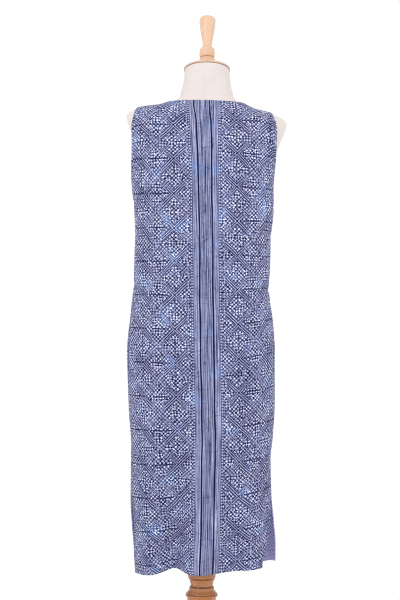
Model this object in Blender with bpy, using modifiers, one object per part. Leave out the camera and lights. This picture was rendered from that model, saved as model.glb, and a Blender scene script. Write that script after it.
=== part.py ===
"""Sheath dress on a limbless dress form, in metres, +Z up, origin under the middle of the base.

The back of the dress faces -Y and its front faces +Y. The dress is two panels, front and back, each a
wall of cloth that hangs from the form's shoulders. Both the form and the dress are built from level
sections: a section is a squared ellipse whose width, depths and place are read from the tables below.
"""

import math
from collections import namedtuple

import bmesh
import bpy
import numpy as np

MM = 0.001

# Cloth and clearances
CLOTH = 1.2 * MM
SEAM_GAP = 0.6 * MM
PIECE_GAP = 0.3 * MM
SHOULDER_LIFT = 2.5 * MM
SHOULDER_EASE = 1.6 * MM
UPPER_EASE = {"back": 2.6 * MM, "front": 3.7 * MM}

# Heights of the dress
HEM = 0.271
VENT_TOP = 0.484
SLIT_LOW = 0.338
POCKET_LOW = 0.745
POCKET_HIGH = 0.862
UNDERARM = 1.233
RESTS_FROM = 1.365
RESTS_FULLY = 1.385

# Pocket bags, pressed flat
BAG_THICKNESS = 2.0 * MM
BAG_GAP = 0.5 * MM
BAG_DROP = 0.085
BAG_RISE = 0.020

# Neckline and shoulder seams, as distances to the side
NECK_LEFT = -0.095
NECK_RIGHT = 0.090
TIP_LEFT = -0.170
TIP_RIGHT = 0.160
BACK_NECK_HEIGHT = 1.4248
FRONT_NECK_HEIGHT = 1.392

# The shoulders stand higher on the left: how much for each metre to the side, and between which
# heights that comes in and goes out again
LEAN = 0.040
LEAN_FROM = 1.14
LEAN_FULLY = 1.33
LEAN_UNTIL = 1.403
LEAN_GONE = 1.445

# Form and stand
FORM_BOTTOM = 0.785
NECK_TOP = 1.505
NECK_FORWARD = 0.032
NECK_TILT = math.radians(14.5)
TILT_STARTS = 1.462
CAP_RADIUS = 0.0568
CAP_THICKNESS = 0.007
FINIAL_LENGTH = 0.138
BASE_RADIUS = 0.175
BASE_THICKNESS = 0.030
POLE_RADIUS = 0.0245

# Fineness of the meshes
TORSO_POINTS = 44
SHOULDER_COLUMNS = 6
NECK_COLUMNS = 14
SKIRT_ROWS = 24
ROW_SAMPLES = 161
HALVINGS = 40
UPPER_ROWS = 12
BAG_COLUMNS = 6

# Table units are millimetres, apart from squareness, which is the power of the ellipse.
FormRow = namedtuple("FormRow", "height half_width back front forward squareness")
FORM_ROWS = [
    FormRow(785, 139.0, 86.0, 78.0, 0.0, 2.2),
    FormRow(789, 149.0, 96.0, 88.0, 0.0, 2.2),
    FormRow(797, 155.5, 104.0, 95.0, 0.0, 2.2),
    FormRow(815, 159.0, 110.0, 100.0, 0.0, 2.2),
    FormRow(850, 160.0, 115.0, 103.0, 0.0, 2.2),
    FormRow(890, 154.0, 112.0, 102.0, 0.0, 2.2),
    FormRow(940, 139.0, 97.0, 96.0, 0.0, 2.2),
    FormRow(985, 124.0, 84.0, 90.0, 0.0, 2.2),
    FormRow(1020, 118.0, 78.0, 88.0, 0.0, 2.2),
    FormRow(1060, 120.0, 79.0, 92.0, 0.0, 2.2),
    FormRow(1110, 129.0, 85.0, 105.0, 0.0, 2.2),
    FormRow(1160, 139.0, 91.0, 121.0, 0.0, 2.2),
    FormRow(1200, 146.0, 95.0, 128.0, 0.0, 2.2),
    FormRow(1240, 153.5, 98.0, 124.0, 0.0, 2.2),
    FormRow(1280, 163.0, 99.0, 114.0, 0.0, 2.2),
    FormRow(1320, 176.0, 98.0, 103.0, 0.0, 2.2),
    FormRow(1350, 187.0, 94.0, 94.0, 0.0, 2.2),
    FormRow(1370, 194.5, 88.5, 87.0, 1.5, 2.2),
    FormRow(1380, 196.0, 84.0, 82.0, 3.0, 2.2),
    FormRow(1388, 191.5, 79.5, 77.5, 4.0, 2.2),
    FormRow(1394, 183.0, 75.5, 73.5, 5.0, 2.2),
    FormRow(1402, 164.5, 70.0, 68.5, 6.0, 2.18),
    FormRow(1411, 119.5, 64.8, 63.7, 7.6, 2.15),
    FormRow(1421, 94.0, 60.0, 59.4, 9.3, 2.12),
    FormRow(1427, 80.0, 58.0, 57.6, 10.4, 2.1),
    FormRow(1432, 71.0, 56.8, 56.6, 11.7, 2.05),
    FormRow(1440, 65.5, 56.0, 56.0, 13.5, 2.0),
    FormRow(1452, 62.8, 55.5, 55.5, 16.5, 2.0),
    FormRow(1462, 60.0, 55.5, 55.5, 19.0, 2.0),
    FormRow(1477, 57.5, 55.5, 55.5, 24.0, 2.0),
    FormRow(1495, 55.5, 55.0, 55.0, 29.5, 2.0),
    FormRow(1505, 55.5, 55.0, 55.0, 32.0, 2.0),
]

# sway is how far the dress hangs to the right of the form's middle; seam_back is how far the side
# seams lie behind the widest line.
DressRow = namedtuple("DressRow", "height half_width sway back front seam_back")
DRESS_ROWS = [
    DressRow(271, 172.0, 8.0, 130.5, 125.0, 12.0),
    DressRow(327, 173.5, 6.0, 130.0, 124.5, 14.0),
    DressRow(375, 173.5, 2.0, 129.0, 124.0, 16.0),
    DressRow(449, 172.5, -4.0, 128.0, 123.0, 20.0),
    DressRow(547, 171.0, -5.5, 127.0, 122.5, 23.0),
    DressRow(596, 173.5, -3.5, 126.5, 122.0, 24.0),
    DressRow(670, 178.5, -4.5, 125.5, 122.0, 25.0),
    DressRow(743, 180.0, -6.5, 124.5, 122.5, 26.0),
    DressRow(817, 181.0, -8.0, 122.5, 123.0, 26.0),
    DressRow(850, 179.0, -8.0, 120.5, 123.5, 25.0),
    DressRow(890, 175.0, -7.5, 116.0, 124.0, 22.0),
    DressRow(939, 169.0, -9.0, 110.0, 125.0, 17.0),
    DressRow(985, 165.5, -8.5, 105.5, 126.0, 13.0),
    DressRow(1012, 166.5, -7.5, 104.0, 127.0, 11.0),
    DressRow(1086, 166.5, -6.0, 101.5, 129.0, 6.0),
    DressRow(1159, 171.0, -4.0, 101.0, 130.5, 2.0),
    DressRow(1200, 173.0, -7.0, 101.5, 131.0, 0.5),
    DressRow(1233, 175.0, -8.5, 102.0, 130.0, 0.0),
    DressRow(1257, 181.0, -8.5, 102.5, 126.0, 0.0),
    DressRow(1306, 190.0, -6.0, 102.5, 112.0, 0.0),
    DressRow(1340, 193.5, -2.0, 99.5, 102.0, 0.0),
    DressRow(1365, 196.5, -0.5, 93.5, 93.0, 0.0),
    DressRow(1390, 196.5, 0.0, 86.0, 85.0, 0.0),
]

# Where the armhole edges of both panels lie, as distances to the side
ArmholeRow = namedtuple("ArmholeRow", "height left right")
ARMHOLE_ROWS = [
    ArmholeRow(1233, -183.5, 166.5),
    ArmholeRow(1257, -183.0, 168.0),
    ArmholeRow(1306, -182.0, 171.0),
    ArmholeRow(1355, -183.0, 171.5),
    ArmholeRow(1380, -178.5, 168.0),
    ArmholeRow(1395, -173.5, 162.5),
    ArmholeRow(1403, -170.0, 160.0),
]

# How far each panel's edge stands from the seam line at the hem, once the side vents have opened
VENT_OPENING = {
    ("back", "left"): 12 * MM,
    ("back", "right"): 73 * MM,
    ("front", "left"): 5 * MM,
    ("front", "right"): 4 * MM,
}
POCKET_OPENING = {"back": 10 * MM, "front": 1 * MM}

# How far the back panel's left edge gapes between SLIT_LOW and VENT_TOP
SLIT_OPENING = 22 * MM

# The hem's height above HEM at the left edge, middle and right edge
HEM_RISE = {
    "back": (4 * MM, 13 * MM, 27 * MM),
    "front": (4 * MM, 13 * MM, 33 * MM),
}

# How much a fold is pushed sideways, against forwards or back
FOLD_SPREAD = 0.25

# Upright folds of the skirt: across is the fold's middle, reach its half width, depth is negative
# inwards, top is where it has run out, and lift is how much it raises the hem.
FoldRow = namedtuple("FoldRow", "panel across reach depth top lift")
FOLD_ROWS = [
    FoldRow("back", -71, 31, -35, 760, 14),
    FoldRow("back", -128, 24, 9, 640, 0),
    FoldRow("back", -12, 34, 8, 700, -1),
    FoldRow("back", 74, 38, -9, 620, 2),
    FoldRow("back", 118, 24, 6, 560, 0),
    FoldRow("front", -98, 30, -17, 680, 3),
    FoldRow("front", -42, 30, 9, 720, 0),
    FoldRow("front", 26, 32, -14, 640, 3),
    FoldRow("front", 88, 30, 8, 600, 0),
    FoldRow("front", 134, 22, -5, 540, -11),
]


def smooth_curve(rows, column):
    """Return a function of height that runs smoothly through one column of a table."""
    heights = np.array([row.height * MM for row in rows])
    values = np.array([getattr(row, column) for row in rows], dtype=float)
    if column != "squareness":
        values = values * MM
    spans = np.diff(heights)
    slopes = np.diff(values) / spans
    tangents = np.concatenate(([slopes[0]], np.zeros(len(rows) - 2), [slopes[-1]]))
    for i in range(1, len(rows) - 1):
        before, after = slopes[i - 1], slopes[i]
        if before * after > 0:
            tangents[i] = 2 * before * after / (before + after)

    def value_at(height):
        z = min(max(height, heights[0]), heights[-1])
        i = min(int(np.searchsorted(heights, z, side="right")) - 1, len(spans) - 1)
        span = spans[i]
        t = (z - heights[i]) / span
        rise = t * t * (3 - 2 * t)
        start = tangents[i] * span * t * (1 - t) ** 2
        end = tangents[i + 1] * span * t * t * (t - 1)
        return values[i] + (values[i + 1] - values[i]) * rise + start + end

    return value_at


def ease_in_out(t):
    """Return a smooth step from 0 to 1 as t runs from 0 to 1."""
    t = min(max(t, 0.0), 1.0)
    return t * t * (3 - 2 * t)


def lean(x, z):
    """Return a point's height once the shoulders have dropped a little to the right."""
    comes = ease_in_out((z - LEAN_FROM) / (LEAN_FULLY - LEAN_FROM))
    goes = ease_in_out((z - LEAN_UNTIL) / (LEAN_GONE - LEAN_UNTIL))
    return z - x * LEAN * comes * (1 - goes)


Section = namedtuple("Section", "half_width middle back front forward squareness")

FORM = {name: smooth_curve(FORM_ROWS, name) for name in FormRow._fields if name != "height"}
DRESS = {name: smooth_curve(DRESS_ROWS, name) for name in DressRow._fields if name != "height"}
ARMHOLE = {name: smooth_curve(ARMHOLE_ROWS, name) for name in ("left", "right")}


def form_section(z):
    """Return the form's level section at a height."""
    return Section(
        FORM["half_width"](z), 0.0, FORM["back"](z), FORM["front"](z), FORM["forward"](z),
        FORM["squareness"](z),
    )


def dress_section(z):
    """Return the dress's level section: free below the shoulders, lying on the form at the top."""
    form = form_section(z - SHOULDER_LIFT)
    rest = ease_in_out((z - RESTS_FROM) / (RESTS_FULLY - RESTS_FROM))

    def blend(free, resting):
        return free * (1 - rest) + resting * rest

    return Section(
        blend(DRESS["half_width"](z), form.half_width + SHOULDER_EASE),
        blend(DRESS["sway"](z), 0.0),
        blend(DRESS["back"](z), form.back + UPPER_EASE["back"]),
        blend(DRESS["front"](z), form.front + UPPER_EASE["front"]),
        form.forward,
        form.squareness,
    )


def ring_point(section, turn):
    """Return x and y on a section; turn is 0 at the front's middle and runs by the right side."""
    power = 2 / section.squareness
    across = math.copysign(abs(math.sin(turn)) ** power, math.sin(turn))
    along = math.copysign(abs(math.cos(turn)) ** power, math.cos(turn))
    depth = section.front if along > 0 else section.back
    return section.middle + section.half_width * across, section.forward + depth * along


def depth_at(section, x, panel):
    """Return y on the front or back of a section, at a distance x to the side."""
    share = min(abs(x - section.middle) / section.half_width, 1.0)
    bulge = (1 - share**section.squareness) ** (1 / section.squareness)
    if panel == "back":
        return section.forward - max(section.back * bulge, SEAM_GAP / 2)
    return section.forward + max(section.front * bulge, SEAM_GAP / 2)


def seam_edge(section, z, panel, side):
    """Return how far behind the widest line a panel's edge lies, with its vent and pocket mouth."""
    away = SEAM_GAP / 2
    if z < VENT_TOP:
        away += VENT_OPENING[panel, side] * ease_in_out((VENT_TOP - z) / (VENT_TOP - HEM))
    if POCKET_LOW < z < POCKET_HIGH:
        share = (z - POCKET_LOW) / (POCKET_HIGH - POCKET_LOW)
        away += POCKET_OPENING[panel] * math.sin(math.pi * share)
    if (panel, side) == ("back", "left") and SLIT_LOW < z < VENT_TOP:
        away += SLIT_OPENING * math.sin(math.pi * (z - SLIT_LOW) / (VENT_TOP - SLIT_LOW))
    behind = DRESS["seam_back"](z)
    return behind + away if panel == "back" else behind - away


def turn_at(section, behind):
    """Return the turn, on the right side, of the point that lies this far behind the widest line."""
    depth = section.back if behind > 0 else section.front
    share = min(abs(behind) / depth, 1.0) ** (section.squareness / 2)
    return math.pi / 2 + math.copysign(math.asin(share), behind)


def skirt_row(z, panel, shares):
    """Return the points of a level row, at shares of its length from the left edge to the right."""
    section = dress_section(z)
    left = -turn_at(section, seam_edge(section, z, panel, "left"))
    right = turn_at(section, seam_edge(section, z, panel, "right"))
    if panel == "back":
        left += 2 * math.pi
    turns = np.linspace(left, right, ROW_SAMPLES)
    points = np.array([ring_point(section, turn) for turn in turns])
    steps = np.hypot(*np.diff(points, axis=0).T)
    along = np.concatenate(([0.0], np.cumsum(steps)))
    wanted = np.array(shares) * along[-1]
    return np.column_stack([np.interp(wanted, along, points[:, i]) for i in (0, 1)])


def fold_at(panel, x, z):
    """Return how far the folds push the cloth outwards, and how much they lift it, at a point."""
    push = lift = 0.0
    for fold in FOLD_ROWS:
        if fold.panel != panel:
            continue
        across = math.exp(-(((x - fold.across * MM) / (fold.reach * MM)) ** 2))
        fade = ease_in_out((fold.top * MM - z) / (fold.top * MM - HEM))
        push += fold.depth * MM * across * fade
        lift += fold.lift * MM * across * fade * fade
    return push, lift


def hem_rise(panel, share):
    """Return the hem's rise at a share of the panel's width, through its left, middle and right."""
    left, middle, right = HEM_RISE[panel]
    side = 2 * share - 1
    return middle + side * (right - left) / 2 + side * side * ((right + left) / 2 - middle)


def ridge_height(x):
    """Return the height at which the dress's shoulder line passes a distance x to the side."""
    low, high = RESTS_FULLY, NECK_TOP
    for _ in range(HALVINGS):
        middle = (low + high) / 2
        if dress_section(middle).half_width > abs(x):
            low = middle
        else:
            high = middle
    return (low + high) / 2


def top_edge(panel):
    """Return x and z along a panel's top: left shoulder seam, neckline, right shoulder seam."""
    lowest = BACK_NECK_HEIGHT if panel == "back" else FRONT_NECK_HEIGHT
    middle = (NECK_LEFT + NECK_RIGHT) / 2
    reach = (NECK_RIGHT - NECK_LEFT) / 2
    points = [(x, ridge_height(x)) for x in np.linspace(TIP_LEFT, NECK_LEFT, SHOULDER_COLUMNS + 1)[:-1]]
    for turn in np.linspace(-math.pi / 2, math.pi / 2, NECK_COLUMNS + 1):
        share = math.sin(turn)
        end = ridge_height(NECK_LEFT if share < 0 else NECK_RIGHT)
        points.append((middle + reach * share, lowest + (end - lowest) * share * share))
    points += [(x, ridge_height(x)) for x in np.linspace(NECK_RIGHT, TIP_RIGHT, SHOULDER_COLUMNS + 1)[1:]]
    return points


def panel_grid(panel):
    """Return a panel's outer points, row by row from the hem up, left to right."""
    columns = 2 * SHOULDER_COLUMNS + NECK_COLUMNS
    shares = np.linspace(0, 1, columns + 1)
    rows = []
    for step in np.linspace(0, 1, SKIRT_ROWS + 1):
        level = HEM + (UNDERARM - HEM) * step
        row = []
        for share, (x, y) in zip(shares, skirt_row(level, panel, shares)):
            push, lift = fold_at(panel, x, level)
            outwards = np.array([x * FOLD_SPREAD, y])
            outwards = outwards / np.hypot(*outwards)
            raised = level + (hem_rise(panel, share) + lift) * (1 - step) ** 3
            row.append((x + push * outwards[0], y + push * outwards[1], raised))
        rows.append(row)
    start = [point[0] for point in rows[-1]]
    top = top_edge(panel)
    for step in np.linspace(0, 1, UPPER_ROWS + 1)[1:]:
        row = []
        for (x_end, z_end), x_start in zip(top, start):
            z = UNDERARM + (z_end - UNDERARM) * math.sin(step * math.pi / 2)
            row.append(upper_point(panel, x_start, x_end, z, ease_in_out(step)))
        rows.append(row)
    return [[(x, y, lean(x, z)) for x, y, z in row] for row in rows]


def upper_point(panel, x_start, x_end, z, step):
    """Return a point above the underarm, between its column's start there and its end on top."""
    first = (ARMHOLE["left"](UNDERARM), ARMHOLE["right"](UNDERARM))
    now = (ARMHOLE["left"](z), ARMHOLE["right"](z))
    begin = (x_start - first[0]) / (first[1] - first[0])
    finish = (x_end - TIP_LEFT) / (TIP_RIGHT - TIP_LEFT)
    share = begin + (finish - begin) * step
    x = now[0] + (now[1] - now[0]) * share
    x = x_end if step >= 1 else x
    return x, depth_at(dress_section(z), x, panel), z


def inset_rows(rows, distance):
    """Return rows of points moved inwards, square to the sheet that they lie on."""
    points = np.array(rows)
    along = np.gradient(points, axis=1)
    up = np.gradient(points, axis=0)
    normals = np.cross(along, up)
    normals /= np.linalg.norm(normals, axis=2, keepdims=True)
    outwards = np.sign(np.sum(normals[..., :2] * points[..., :2], axis=2, keepdims=True))
    return points - normals * outwards * distance


def bag_grid(side, front):
    """Return a pocket bag's outer points: the front panel's points by the side seam, moved inwards."""
    rows = [row for row in front if POCKET_LOW - BAG_DROP < row[0][2] < POCKET_HIGH + BAG_RISE]
    inner = inset_rows(rows, CLOTH + BAG_GAP)
    if side == "left":
        return inner[:, : BAG_COLUMNS + 1]
    return inner[:, -BAG_COLUMNS - 1 :]


def paint(obj, colour, roughness):
    """Give an object its own plain material."""
    material = bpy.data.materials.new(obj.name)
    material.use_nodes = True
    shader = material.node_tree.nodes["Principled BSDF"]
    shader.inputs["Base Color"].default_value = (*colour, 1.0)
    shader.inputs["Roughness"].default_value = roughness
    shader.inputs["Metallic"].default_value = 0.0
    material.diffuse_color = (*colour, 1.0)
    obj.data.materials.append(material)


def add_object(name, mesh, collection):
    """Put a mesh in the collection under its piece's name."""
    mesh.name = name
    obj = bpy.data.objects.new(name, mesh)
    collection.objects.link(obj)
    return obj


def sheet_mesh(rows):
    """Return an open sheet through rows of points, with its faces turned away from the middle."""
    bm = bmesh.new()
    grid = [[bm.verts.new(point) for point in row] for row in rows]
    for lower, upper in zip(grid, grid[1:]):
        for i in range(len(lower) - 1):
            bm.faces.new((lower[i], lower[i + 1], upper[i + 1], upper[i]))
    bm.normal_update()
    outward = 0.0
    for face in bm.faces:
        centre = face.calc_center_median()
        outward += face.normal.x * centre.x + face.normal.y * centre.y
    if outward < 0:
        bmesh.ops.reverse_faces(bm, faces=list(bm.faces))
    mesh = bpy.data.meshes.new("sheet")
    bm.to_mesh(mesh)
    bm.free()
    mesh.shade_smooth()
    return mesh


def add_sheet(name, rows, thickness, collection):
    """Add a sheet that is given its thickness inwards."""
    obj = add_object(name, sheet_mesh(rows), collection)
    wall = obj.modifiers.new("wall", "SOLIDIFY")
    wall.thickness = thickness
    wall.offset = -1.0
    wall.use_even_offset = True
    return obj


def add_torso(collection):
    """Add the form's torso, lofted through its level rings, with the neck's top sloping forward."""
    bm = bmesh.new()
    rings = []
    for row in FORM_ROWS:
        z = row.height * MM
        section = form_section(z)
        slope = math.tan(NECK_TILT) * ease_in_out((z - TILT_STARTS) / (NECK_TOP - TILT_STARTS))
        ring = []
        for turn in np.linspace(0, 2 * math.pi, TORSO_POINTS, endpoint=False):
            x, y = ring_point(section, turn)
            height = z - (y - section.forward) * slope
            ring.append(bm.verts.new((x, y, lean(x, height))))
        rings.append(ring)
    for lower, upper in zip(rings, rings[1:]):
        for i in range(TORSO_POINTS):
            j = (i + 1) % TORSO_POINTS
            bm.faces.new((lower[i], lower[j], upper[j], upper[i]))
    bm.faces.new(rings[0])
    bm.faces.new(rings[-1])
    bmesh.ops.recalc_face_normals(bm, faces=list(bm.faces))
    mesh = bpy.data.meshes.new("torso")
    bm.to_mesh(mesh)
    bm.free()
    mesh.shade_smooth()
    mesh.set_sharp_from_angle(angle=math.radians(50))
    return add_object("form_torso", mesh, collection)


def add_turned(name, profile, steps, collection):
    """Add a turned piece from a profile of radius and height that runs from top to bottom."""
    bm = bmesh.new()
    points = [bm.verts.new((radius, 0.0, height)) for radius, height in profile]
    for first, second in zip(points, points[1:]):
        bm.edges.new((first, second))
    mesh = bpy.data.meshes.new(name)
    bm.to_mesh(mesh)
    bm.free()
    obj = add_object(name, mesh, collection)
    screw = obj.modifiers.new("turned", "SCREW")
    screw.axis = "Z"
    screw.steps = steps
    screw.render_steps = steps
    screw.use_merge_vertices = True
    screw.merge_threshold = 0.0001
    screw.use_smooth_shade = True
    return obj


def arc_profile(centre, radius, start, end, points):
    """Return points on an arc of a profile, from one angle to another in degrees."""
    angles = np.radians(np.linspace(start, end, points))
    return [(centre[0] + radius * math.cos(a), centre[1] + radius * math.sin(a)) for a in angles]


def cap_profile():
    """Return the neck cap's profile: a thin disc with a rounded upper edge."""
    edge = 0.004
    crown = arc_profile((CAP_RADIUS - edge, CAP_THICKNESS - edge), edge, 90, 0, 4)
    return [(0.0, CAP_THICKNESS), *crown, (CAP_RADIUS, 0.0), (0.0, 0.0)]


def finial_profile():
    """Return the finial's profile: a domed spindle that narrows down to a bead on a foot."""
    top = FINIAL_LENGTH
    return [
        (0.0, top),
        (0.0085, top - 0.0010),
        (0.0150, top - 0.0035),
        (0.0190, top - 0.0075),
        (0.0200, top - 0.0120),
        (0.0190, top - 0.0260),
        (0.0150, top - 0.0520),
        (0.0105, top - 0.0800),
        (0.0110, 0.0550),
        (0.0160, 0.0520),
        (0.0190, 0.0455),
        (0.0194, 0.0370),
        (0.0182, 0.0290),
        (0.0168, 0.0265),
        (0.0190, 0.0240),
        (0.0190, 0.0030),
        (0.0205, 0.0),
        (0.0, 0.0),
    ]


def post_profile():
    """Return the post's profile: a plain pole in the skirt, then beads, coves and a long taper."""
    foot = BASE_THICKNESS + PIECE_GAP
    return [
        (0.0, FORM_BOTTOM - PIECE_GAP),
        (0.0400, FORM_BOTTOM - PIECE_GAP),
        (0.0400, FORM_BOTTOM - 0.012),
        (POLE_RADIUS, FORM_BOTTOM - 0.016),
        (POLE_RADIUS, 0.300),
        (0.0290, 0.292),
        (0.0322, 0.280),
        (0.0340, 0.266),
        (0.0328, 0.2600),
        (0.0296, 0.2550),
        (0.0286, 0.2490),
        (0.0272, 0.2430),
        (0.0298, 0.2380),
        (0.0304, 0.2335),
        (0.0335, 0.2272),
        (0.0386, 0.2215),
        (0.0390, 0.2165),
        (0.0356, 0.2122),
        (0.0348, 0.2050),
        (0.0322, 0.1500),
        (0.0300, 0.1000),
        (0.0312, 0.0800),
        (0.0400, 0.0700),
        (0.0420, 0.0620),
        (0.0400, 0.0560),
        (0.0520, 0.0440),
        (0.0560, foot + 0.004),
        (0.0560, foot),
        (0.0, foot),
    ]


def base_profile():
    """Return the round base's profile: a thick disc with a stepped and rounded upper edge."""
    edge = 0.009
    upper = arc_profile((BASE_RADIUS - 0.018, BASE_THICKNESS - edge), edge, 90, 0, 4)
    lower = arc_profile((BASE_RADIUS - 0.008, 0.008), 0.008, 90, 0, 4)
    return [(0.0, BASE_THICKNESS), *upper, *lower, (BASE_RADIUS - 0.001, 0.0), (0.0, 0.0)]


def build():
    """Build every piece, each in its own object."""
    for obj in list(bpy.data.objects):
        bpy.data.objects.remove(obj, do_unlink=True)
    collection = bpy.data.collections.new("sheath_dress")
    bpy.context.scene.collection.children.link(collection)

    grids = {panel: panel_grid(panel) for panel in ("back", "front")}
    for panel, grid in grids.items():
        cloth = add_sheet(f"dress_{panel}", grid, CLOTH, collection)
        paint(cloth, (0.21, 0.23, 0.43), 0.85)
    for side in ("left", "right"):
        bag = add_sheet(f"pocket_{side}", bag_grid(side, grids["front"]), BAG_THICKNESS, collection)
        paint(bag, (0.16, 0.18, 0.36), 0.85)

    torso = add_torso(collection)
    paint(torso, (0.86, 0.80, 0.75), 0.8)
    along_neck = np.array([0.0, math.sin(NECK_TILT), math.cos(NECK_TILT)])
    neck_top = np.array([0.0, NECK_FORWARD, NECK_TOP])
    cap = add_turned("neck_cap", cap_profile(), 32, collection)
    cap.location = neck_top + along_neck * PIECE_GAP
    cap.rotation_euler.x = -NECK_TILT
    finial = add_turned("finial", finial_profile(), 20, collection)
    finial.location = neck_top + along_neck * (CAP_THICKNESS + 2 * PIECE_GAP)
    finial.rotation_euler.x = -NECK_TILT
    post = add_turned("stand_post", post_profile(), 20, collection)
    base = add_turned("stand_base", base_profile(), 40, collection)
    for piece in (cap, finial):
        paint(piece, (0.80, 0.58, 0.42), 0.45)
    for piece in (post, base):
        paint(piece, (0.42, 0.18, 0.08), 0.4)


build()
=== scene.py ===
"""Looks of the sheath dress on its dress form: batik cloth, covered form, turned wood, light and camera.

Everything is in metres, +Z up. The back of the dress faces -Y, towards the camera. The cloth and the
form are lofted from the same level sections as their solids, only finer.
"""

import logging
import math
from dataclasses import dataclass
from enum import Enum
from functools import partialmethod
from typing import Callable, NamedTuple, Sequence

import bmesh
import bpy
import numpy as np
from mathutils import Matrix, Vector


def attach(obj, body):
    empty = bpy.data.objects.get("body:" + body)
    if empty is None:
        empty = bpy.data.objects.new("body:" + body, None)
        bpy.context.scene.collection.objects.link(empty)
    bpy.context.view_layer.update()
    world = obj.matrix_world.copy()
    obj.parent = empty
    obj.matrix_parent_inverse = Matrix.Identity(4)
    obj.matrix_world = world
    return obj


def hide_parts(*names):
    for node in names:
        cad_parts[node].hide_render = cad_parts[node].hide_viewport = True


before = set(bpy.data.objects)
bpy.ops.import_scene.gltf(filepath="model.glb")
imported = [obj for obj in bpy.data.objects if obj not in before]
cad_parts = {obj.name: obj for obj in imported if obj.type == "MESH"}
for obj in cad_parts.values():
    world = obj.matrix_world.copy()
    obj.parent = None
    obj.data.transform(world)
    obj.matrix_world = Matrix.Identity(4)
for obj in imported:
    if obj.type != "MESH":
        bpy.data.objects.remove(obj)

MM = 0.001
LOG = logging.getLogger("sheath_dress")
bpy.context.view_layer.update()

Colour = tuple[float, float, float]


class Side(Enum):
    """The two halves of the dress, named as the wearer's back and front."""

    BACK = "back"
    FRONT = "front"


class Hand(Enum):
    """Left and right as the camera sees them, which is -X and +X."""

    LEFT = "left"
    RIGHT = "right"


class ClothFace(Enum):
    """The printed face of the cloth and its wrong side, which is painted paler and bluer as painted light
    for the dress's inside.
    """

    RIGHT_SIDE = "right_side"
    WRONG_SIDE = "wrong_side"


# Level sections of the form and the dress


class FormRow(NamedTuple):
    """A level section of the form, in millimetres."""

    height: float
    half_width: float
    back: float
    front: float
    forward: float = 0.0
    squareness: float = 2.2


class DressRow(NamedTuple):
    """A level section of the dress, in millimetres."""

    height: float
    half_width: float
    sway: float
    back: float
    front: float
    seam_back: float


class ArmholeRow(NamedTuple):
    """Where both armhole edges lie at a height, in millimetres to the side."""

    height: float
    left: float
    right: float


FORM_ROWS = [FormRow(*row) for row in (
    (785, 139.0, 86.0, 78.0), (789, 149.0, 96.0, 88.0), (797, 155.5, 104.0, 95.0),
    (815, 159.0, 110.0, 100.0), (850, 160.0, 115.0, 103.0), (890, 154.0, 112.0, 102.0),
    (940, 139.0, 97.0, 96.0), (985, 124.0, 84.0, 90.0), (1020, 118.0, 78.0, 88.0),
    (1060, 120.0, 79.0, 92.0), (1110, 129.0, 85.0, 105.0), (1160, 139.0, 91.0, 121.0),
    (1200, 146.0, 95.0, 128.0), (1240, 153.5, 98.0, 124.0), (1280, 163.0, 99.0, 114.0),
    (1320, 176.0, 98.0, 103.0), (1350, 187.0, 94.0, 94.0), (1370, 194.5, 88.5, 87.0, 1.5),
    (1380, 196.0, 84.0, 82.0, 3.0), (1388, 191.5, 79.5, 77.5, 4.0), (1394, 183.0, 75.5, 73.5, 5.0),
    (1402, 164.5, 70.0, 68.5, 6.0, 2.18), (1411, 119.5, 64.8, 63.7, 7.6, 2.15),
    (1421, 94.0, 60.0, 59.4, 9.3, 2.12), (1427, 80.0, 58.0, 57.6, 10.4, 2.1),
    (1432, 71.0, 56.8, 56.6, 11.7, 2.05), (1440, 65.5, 56.0, 56.0, 13.5, 2.0),
    (1452, 62.8, 55.5, 55.5, 16.5, 2.0), (1462, 60.0, 55.5, 55.5, 19.0, 2.0),
    (1477, 57.5, 55.5, 55.5, 24.0, 2.0), (1495, 55.5, 55.0, 55.0, 29.5, 2.0),
    (1505, 55.5, 55.0, 55.0, 32.0, 2.0),
)]

DRESS_ROWS = [DressRow(*row) for row in (
    (271, 172.0, 8.0, 130.5, 125.0, 12.0), (327, 173.5, 6.0, 130.0, 124.5, 14.0),
    (375, 173.5, 2.0, 129.0, 124.0, 16.0), (449, 172.5, -4.0, 128.0, 123.0, 20.0),
    (547, 171.0, -5.5, 127.0, 122.5, 23.0), (596, 173.5, -3.5, 126.5, 122.0, 24.0),
    (670, 178.5, -4.5, 125.5, 122.0, 25.0), (743, 180.0, -6.5, 124.5, 122.5, 26.0),
    (817, 181.0, -8.0, 122.5, 123.0, 26.0), (850, 179.0, -8.0, 120.5, 123.5, 25.0),
    (890, 175.0, -7.5, 116.0, 124.0, 22.0), (939, 169.0, -9.0, 110.0, 125.0, 17.0),
    (985, 165.5, -8.5, 105.5, 126.0, 13.0), (1012, 166.5, -7.5, 104.0, 127.0, 11.0),
    (1086, 166.5, -6.0, 101.5, 129.0, 6.0), (1159, 171.0, -4.0, 101.0, 130.5, 2.0),
    (1200, 173.0, -7.0, 101.5, 131.0, 0.5), (1233, 175.0, -8.5, 102.0, 130.0, 0.0),
    (1257, 181.0, -8.5, 102.5, 126.0, 0.0), (1306, 190.0, -6.0, 102.5, 112.0, 0.0),
    (1340, 193.5, -2.0, 99.5, 102.0, 0.0), (1365, 196.5, -0.5, 93.5, 93.0, 0.0),
    (1390, 196.5, 0.0, 86.0, 85.0, 0.0),
)]

ARMHOLE_ROWS = [ArmholeRow(*row) for row in (
    (1233, -183.5, 166.5), (1257, -183.0, 168.0), (1306, -182.0, 171.0), (1355, -183.0, 171.5),
    (1380, -178.5, 168.0), (1395, -173.5, 162.5), (1403, -170.0, 160.0),
)]


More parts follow.
